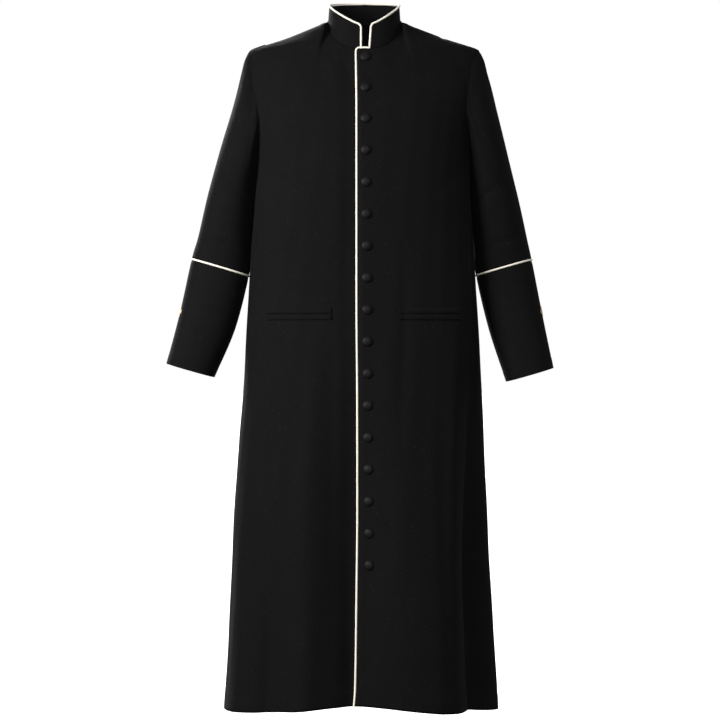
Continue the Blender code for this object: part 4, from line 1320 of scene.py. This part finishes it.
@dataclass
class FrontPiping:
    """The piping along the top of the overlap and down the front edge."""

    pattern: Pattern
    radius: float = 2.0

    def build(self, piping: PipingSatin) -> None:
        """Make the piping."""
        pattern = self.pattern
        offset, corner = pattern.piping_offset, pattern.corner
        edge_top = pattern.overlap_top - corner
        edge_x = float(pattern.piping_x(edge_top))
        start = float(pattern.neck.ring(pattern.neck.left_end, 0.0)[0]) - 0.4
        angles = np.radians(np.linspace(90.0, 0.0, 10))
        reach = corner + offset
        x = np.concatenate([np.linspace(start, edge_x + reach, 8)[:-1], edge_x + reach * (1.0 - np.cos(angles))])
        rise = np.concatenate([np.full(7, reach), reach * np.sin(angles)])
        height = edge_top + rise
        top, _ = pattern.body.point(pattern.body.turn_at(x, height), height)
        way = np.concatenate([np.linspace(2.0, 1.0, 90)[1:], np.linspace(1.0, 0.0, 420)[1:]])
        edge = pattern.place(Panel.FRONT_LEFT, 1, np.zeros_like(way), way)
        edge = edge[edge[:, 2] < edge_top - 0.5] - np.array([offset, 0.0, 0.0])
        line = np.concatenate([top, edge])
        settle(
            tube_piece("piping_front_edge", line, self.radius, False),
            piping.make("Piping front edge"),
            "piping",
            "front_edge_piping",
        )


@dataclass
class Arm:
    """One sleeve with its cuff, piping and cross."""

    form: SleeveForm
    wall: float = 1.8
    around: int = 128
    piping_radius: float = 2.0
    gap: float = 0.4
    cross_station: float = 8.98
    cross_turn: float = 14.0
    cuff_segment: float = 113.0
    cuff_radius: float = 54.0
    cross_reach: float = 10.5
    cross_neck: float = 1.8
    cross_flare: float = 5.2

    def build(self, cloth: Suiting, piping: PipingSatin, thread: CrossThread) -> None:
        """Make the sleeve's pieces.

        Args:
            cloth: The finish of sleeve and cuff.
            piping: The finish of the cuff's piping.
            thread: The finish of the cross.
        """
        word = self.form.side.word
        flip = self.form.side is Side.RIGHT
        turns = np.linspace(0.0, 360.0, self.around, endpoint=False)
        step = self.piping_radius + 2 * self.gap
        seam, near = self.form.cuff_seam, 0.02
        ends = self.form.smooth_place(np.array([seam - near, seam + near]), np.array([90.0, 90.0]))
        pace = float(np.linalg.norm(ends[1] - ends[0])) / near / 2
        top = np.concatenate([[0.0, 0.03, 0.06], np.linspace(0.1, 1.0, 16), np.linspace(1.0, 7.0, 112)[1:]])
        sleeve = np.concatenate([top, np.linspace(7.0, seam - step / pace, 20)[1:]])
        cuff = np.linspace(seam + step / pace, self.form.cuff_end, 44)
        for kind, stations in (("sleeve", sleeve), ("cuff", cuff)):
            points = self.form.place(stations[:, None], turns[None, :])
            if kind == "cuff":
                points = self.crumple(points, stations, turns)
            down = distances(points, 0)
            around = np.broadcast_to(turns[None, :] * math.radians(1.0) * self.cuff_radius, down.shape)
            flat = np.stack([around, down[-1:] - down], -1)
            obj = grid_piece(f"cloth_{kind}_{word}", points, flat, self.wall, flip, tube=True)
            settle(obj, cloth.make(f"Suiting {kind} {word}", kind == "cuff"), "cloth", f"{kind}_{word}")
        ring = self.form.smooth_place(np.full(200, seam), np.linspace(0.0, 360.0, 200, endpoint=False))
        line = tube_piece(f"piping_cuff_{word}", ring, self.piping_radius, True)
        settle(line, piping.make(f"Piping cuff {word}"), "piping", f"cuff_piping_{word}")
        self.cross(thread)

    def crumple(self, points: Array, stations: Array, turns: Array) -> Array:
        """Points of the cuff, drawn slightly in below its seam and uneven along its end."""
        centre = points.mean(axis=1, keepdims=True)
        outward = unit(points - centre)
        run = (stations - stations[0])[:, None] / (stations[-1] - stations[0])
        wave = np.sin(np.radians(turns * 2.0) + 0.7)[None] * 0.8 + np.sin(np.radians(turns * 5.0) + 2.0)[None] * 0.35
        hem = 0.4 * smooth_step(0.86, 0.885, run)
        return points + outward * (wave * run * 1.1 + hem - 0.5 * np.exp(-((run / 0.02) ** 2)))[..., None]

    def cross(self, thread: CrossThread) -> None:
        """Make the cross of raised satin stitches on the cuff's outer side."""
        word, sign = self.form.side.word, self.form.side.value
        steps = np.linspace(0.0, 1.0, 10)
        reach = self.cross_neck + (self.cross_reach - self.cross_neck) * steps
        half = self.cross_neck + (self.cross_flare - self.cross_neck) * steps**2.2
        sides = np.linspace(-1.0, 1.0, 9)
        patches = [(np.outer(np.ones(9), sides) * self.cross_neck, np.outer(sides, np.ones(9)) * self.cross_neck)]
        for quarter in range(4):
            c, s = round(math.cos(math.pi / 2 * quarter)), round(math.sin(math.pi / 2 * quarter))
            out = np.repeat(reach[:, None], 9, axis=1)
            wide = half[:, None] * sides[None, :]
            patches.append((out * c - wide * s, out * s + wide * c))
        verts, faces, flat = [], [], []
        for number, (x, y) in enumerate(patches):
            crown = 0.35 * (1.0 - (np.abs(sides)[None, :] ** 3)) + 0.0 * x
            if number == 0:
                crown = np.full(x.shape, 0.35)
            station = self.cross_station - y / self.cuff_segment
            turn = self.cross_turn + sign * np.degrees(x / self.cuff_radius)
            low = self.form.place(station, turn, 0.75)
            high = self.form.place(station, turn, 1.3 + crown)
            rows, columns = x.shape
            index = np.arange(rows * columns).reshape(rows, columns) + len(verts)
            under = index + rows * columns
            verts += high.reshape(-1, 3).tolist() + low.reshape(-1, 3).tolist()
            flat += np.stack([x, y], -1).reshape(-1, 2).tolist() * 2
            quads = np.stack([index[:-1, :-1], index[:-1, 1:], index[1:, 1:], index[1:, :-1]], -1).reshape(-1, 4)
            base = np.stack([under[:-1, :-1], under[1:, :-1], under[1:, 1:], under[:-1, 1:]], -1).reshape(-1, 4)
            rim = np.concatenate([index[0], index[1:, -1], index[-1, -2::-1], index[-2:0:-1, 0]])
            low_rim = rim + rows * columns
            wall = np.stack([rim, low_rim, np.roll(low_rim, -1), np.roll(rim, -1)], -1)
            faces += quads.tolist() + base.tolist() + wall.tolist()
        obj = add_mesh(f"cross_cuff_{word}", np.array(verts), faces)
        lay_cloth(obj.data, np.array(flat), len(flat), 0.0, 0.0)
        settle(obj, thread.make(f"Thread {word}"), "thread", f"cuff_cross_{word}")


@dataclass
class Buttons:
    """The covered buttons down the left front."""

    body: BodyForm
    count: int = 17
    radius: float = 10.1
    height: float = 5.6
    top: float = -80.5
    pitch: float = 64.2
    first_x: float = 5.0
    last_x: float = 13.0
    lift: float = 0.4
    around: int = 40
    profile: tuple[tuple[float, float], ...] = (
        (0.0, 1.0),
        (0.12, 0.995),
        (0.26, 0.975),
        (0.42, 0.93),
        (0.58, 0.855),
        (0.72, 0.75),
        (0.84, 0.62),
        (0.93, 0.47),
        (0.985, 0.33),
        (1.0, 0.22),
        (0.97, 0.10),
        (0.88, 0.03),
        (0.6, 0.0),
        (0.0, 0.0),
    )

    def shape(self, seed: int) -> tuple[Array, list[list[int]]]:
        """The points and faces of one button, with its cover gathered towards its rim.

        Args:
            seed: The button's number, which sets how its cover lies.

        Returns:
            The points in millimetres, and the faces.
        """
        angles = np.linspace(0.0, 2.0 * np.pi, self.around, endpoint=False)
        rows = []
        for reach, rise in self.profile[1:-1]:
            pucker = 1.0 + 0.012 * smooth_step(0.7, 1.0, reach) * np.sin(angles * 10.0 + seed * 1.7)
            out = self.radius * reach * pucker
            tilt = 0.12 * np.sin(angles + seed * 2.1) * reach
            level = np.full(self.around, self.height * rise) + tilt * (rise > 0.2)
            rows.append(np.stack([out * np.cos(angles), out * np.sin(angles), level], -1))
        points = np.concatenate([np.concatenate(rows), [[0.0, 0.0, self.height], [0.0, 0.0, 0.0]]])
        index = np.arange(len(rows) * self.around).reshape(len(rows), self.around)
        turned = np.roll(index, -1, axis=1)
        faces = np.stack([index[:-1], index[1:], turned[1:], turned[:-1]], -1).reshape(-1, 4).tolist()
        crown, foot = len(points) - 2, len(points) - 1
        faces += [[crown, int(a), int(b)] for a, b in zip(index[0], turned[0])]
        faces += [[foot, int(b), int(a)] for a, b in zip(index[-1], turned[-1])]
        return points, faces

    def build(self, satin: ButtonSatin) -> None:
        """Make the buttons."""
        for number in range(self.count):
            height = self.top - self.pitch * number
            x = self.first_x + (self.last_x - self.first_x) * number / (self.count - 1)
            place, facing = self.body.front_place(np.array([x]), np.array([height]), self.lift)
            turn = Vector(facing[0]).to_track_quat("Z", "Y").to_matrix()
            points, faces = self.shape(number)
            points = points @ np.array(turn).T + place[0]
            obj = add_mesh(f"covered_button_{number + 1:02d}", points, faces)
            settle(obj, satin.make(f"Button satin {number + 1:02d}"), "button_cloth", f"button_{number + 1:02d}")


@dataclass
class Pockets:
    """The double-welt pockets on the fronts."""

    body: BodyForm
    height: float = -603.0
    width: float = 11.0
    split: float = 1.6
    lift: float = 0.5
    crown: float = 1.35
    left: tuple[float, float] = (73.0, 200.0)
    right: tuple[float, float] = (-194.0, -62.0)

    def build(self, cloth: Suiting) -> None:
        """Make the four welts."""
        for side, (start, end) in ((Side.LEFT, self.left), (Side.RIGHT, self.right)):
            for kind, sign in (("upper", 1.0), ("lower", -1.0)):
                inner = self.height + sign * self.split / 2
                xs = np.linspace(start, end, 90)
                rise = np.linspace(0.0, 1.0, 14)
                bow = 0.25 * np.sin((xs - start) / (end - start) * np.pi) * (1.0 if kind == "upper" else -1.0)
                levels = (inner + sign * self.width * rise)[:, None] - sign * bow[None] * (1.0 - rise)[:, None]
                levels = levels if sign > 0 else levels[::-1]
                roll = 1.0 - np.abs(2.0 * rise - 1.0) ** 3.0
                ends = np.minimum(1.0, np.minimum(xs - start, end - xs) / 3.0)
                lift = self.lift + self.wall() + self.crown * roll[:, None] * (0.35 + 0.65 * ends[None] ** 0.5)
                points, _ = self.body.front_place(xs[None] + 0.0 * levels, levels, lift)
                flat = np.stack(np.broadcast_arrays(xs[None] + 0.0 * levels, levels), -1)
                name = f"pocket_{side.word}_{kind}_welt"
                obj = grid_piece(f"cloth_{name}", points, flat, self.wall(), False)
                settle(obj, cloth.make(f"Suiting {name}", stitched=False), "cloth", name)
                f"cloth_front_{side.word}"

    @staticmethod
    def wall() -> float:
        """How thick a welt's cloth is."""
        return 0.9


@dataclass
class Studio:
    """A plain pale floor, soft light and the camera."""

    floor_height: float = -1.75
    camera_place: tuple[float, float, float] = (-0.005, -4.2, -0.6955)
    lens: float = 101.45
    surround: float = 0.15

    def build(self) -> None:
        """Make the floor, the lights, the pale surround and the camera."""
        scene = bpy.context.scene
        scene.view_settings.view_transform = "Standard"
        camera = bpy.data.objects.new("Camera", bpy.data.cameras.new("Camera"))
        camera.data.lens = self.lens
        camera.data.sensor_width = 36.0
        camera.location = self.camera_place
        camera.rotation_euler = (math.radians(90.0), 0.0, 0.0)
        scene.collection.objects.link(camera)
        scene.camera = camera
        self.floor()
        self.world()
        self.softbox((-1.75, -1.5, 0.0), (0.0, 0.0, -0.6), 1.0, 80.0)
        self.sun("Front fill", (0.1, -1.0, 0.4), 1.35, 40.0)
        self.sun("Side fill", (1.0, 0.1, 0.35), 0.5, 40.0)
        self.sun("Behind", (-0.5, 0.9, 0.6), 4.0, 20.0)

    def floor(self) -> None:
        """Make the floor."""
        mesh = bpy.data.meshes.new("Floor")
        far, z = 60.0, self.floor_height
        mesh.from_pydata([(-far, -far, z), (far, -far, z), (far, far, z), (-far, far, z)], [], [(0, 1, 2, 3)])
        obj = bpy.data.objects.new("Floor", mesh)
        bpy.context.scene.collection.objects.link(obj)
        paint = Painter("Pale floor")
        cloud = paint.noise(paint.position(), 0.8, 2.0)
        paint.set(Base_Color=paint.blend(cloud, (0.86, 0.86, 0.86), (0.9, 0.9, 0.9)), Roughness=0.9)
        paint.set(Emission_Color=(1.0, 1.0, 1.0, 1.0), Emission_Strength=1.0, Specular_IOR_Level=0.1)
        mesh.materials.append(paint.material)
        obj.visible_diffuse = obj.visible_glossy = False

    def world(self) -> None:
        """Make the surround, which is seen white and lights the garment more dimly."""
        world = bpy.data.worlds.new("Pale surround")
        bpy.context.scene.world = world
        world.use_nodes = True
        tree = world.node_tree
        background = tree.nodes["Background"]
        background.inputs["Color"].default_value = (1.0, 1.0, 1.0, 1.0)
        path = tree.nodes.new("ShaderNodeLightPath")
        strength = tree.nodes.new("ShaderNodeMix")
        strength.inputs[2].default_value = self.surround
        strength.inputs[3].default_value = 1.0
        tree.links.new(path.outputs["Is Camera Ray"], strength.inputs[0])
        tree.links.new(strength.outputs[0], background.inputs["Strength"])

    def softbox(self, place: tuple[float, ...], aim: tuple[float, ...], size: float, power_used: float) -> None:
        """Add the main light, a square softbox beside the camera.

        Args:
            place: Where it stands.
            aim: The point that it faces.
            size: Its width and height.
            power_used: Its power in watts.
        """
        light = bpy.data.lights.new("Key", "AREA")
        light.energy = power_used
        light.size = size
        obj = bpy.data.objects.new("Key", light)
        obj.location = place
        obj.rotation_euler = (Vector(place) - Vector(aim)).to_track_quat("Z", "Y").to_euler()
        bpy.context.scene.collection.objects.link(obj)

    def sun(self, name: str, towards: tuple[float, float, float], strength: float, angle: float) -> None:
        """Add one broad light.

        Args:
            name: Its name.
            towards: The direction from the garment to the light.
            strength: Its strength.
            angle: How wide it is, in degrees.
        """
        light = bpy.data.lights.new(name, "SUN")
        light.energy = strength
        light.angle = math.radians(angle)
        obj = bpy.data.objects.new(name, light)
        obj.rotation_euler = Vector(towards).to_track_quat("Z", "Y").to_euler()
        bpy.context.scene.collection.objects.link(obj)


def main() -> None:
    """Build the cassock's pieces and the studio."""
    logging.basicConfig(level=logging.INFO, format="%(name)s: %(message)s")
    body, neck = BodyForm(), NeckForm()
    pattern = Pattern(body, neck)
    cloth, piping, thread = Suiting(), PipingSatin(), CrossThread()
    Studio().build()
    Body(pattern, cloth).build()
    Collar(neck).build(cloth, piping)
    FrontPiping(pattern).build(piping)
    for side in Side:
        Arm(SleeveForm(side, pattern)).build(cloth, piping, thread)
    Buttons(body).build(ButtonSatin())
    Pockets(body).build(cloth)


if __name__ == "__main__":
    main()
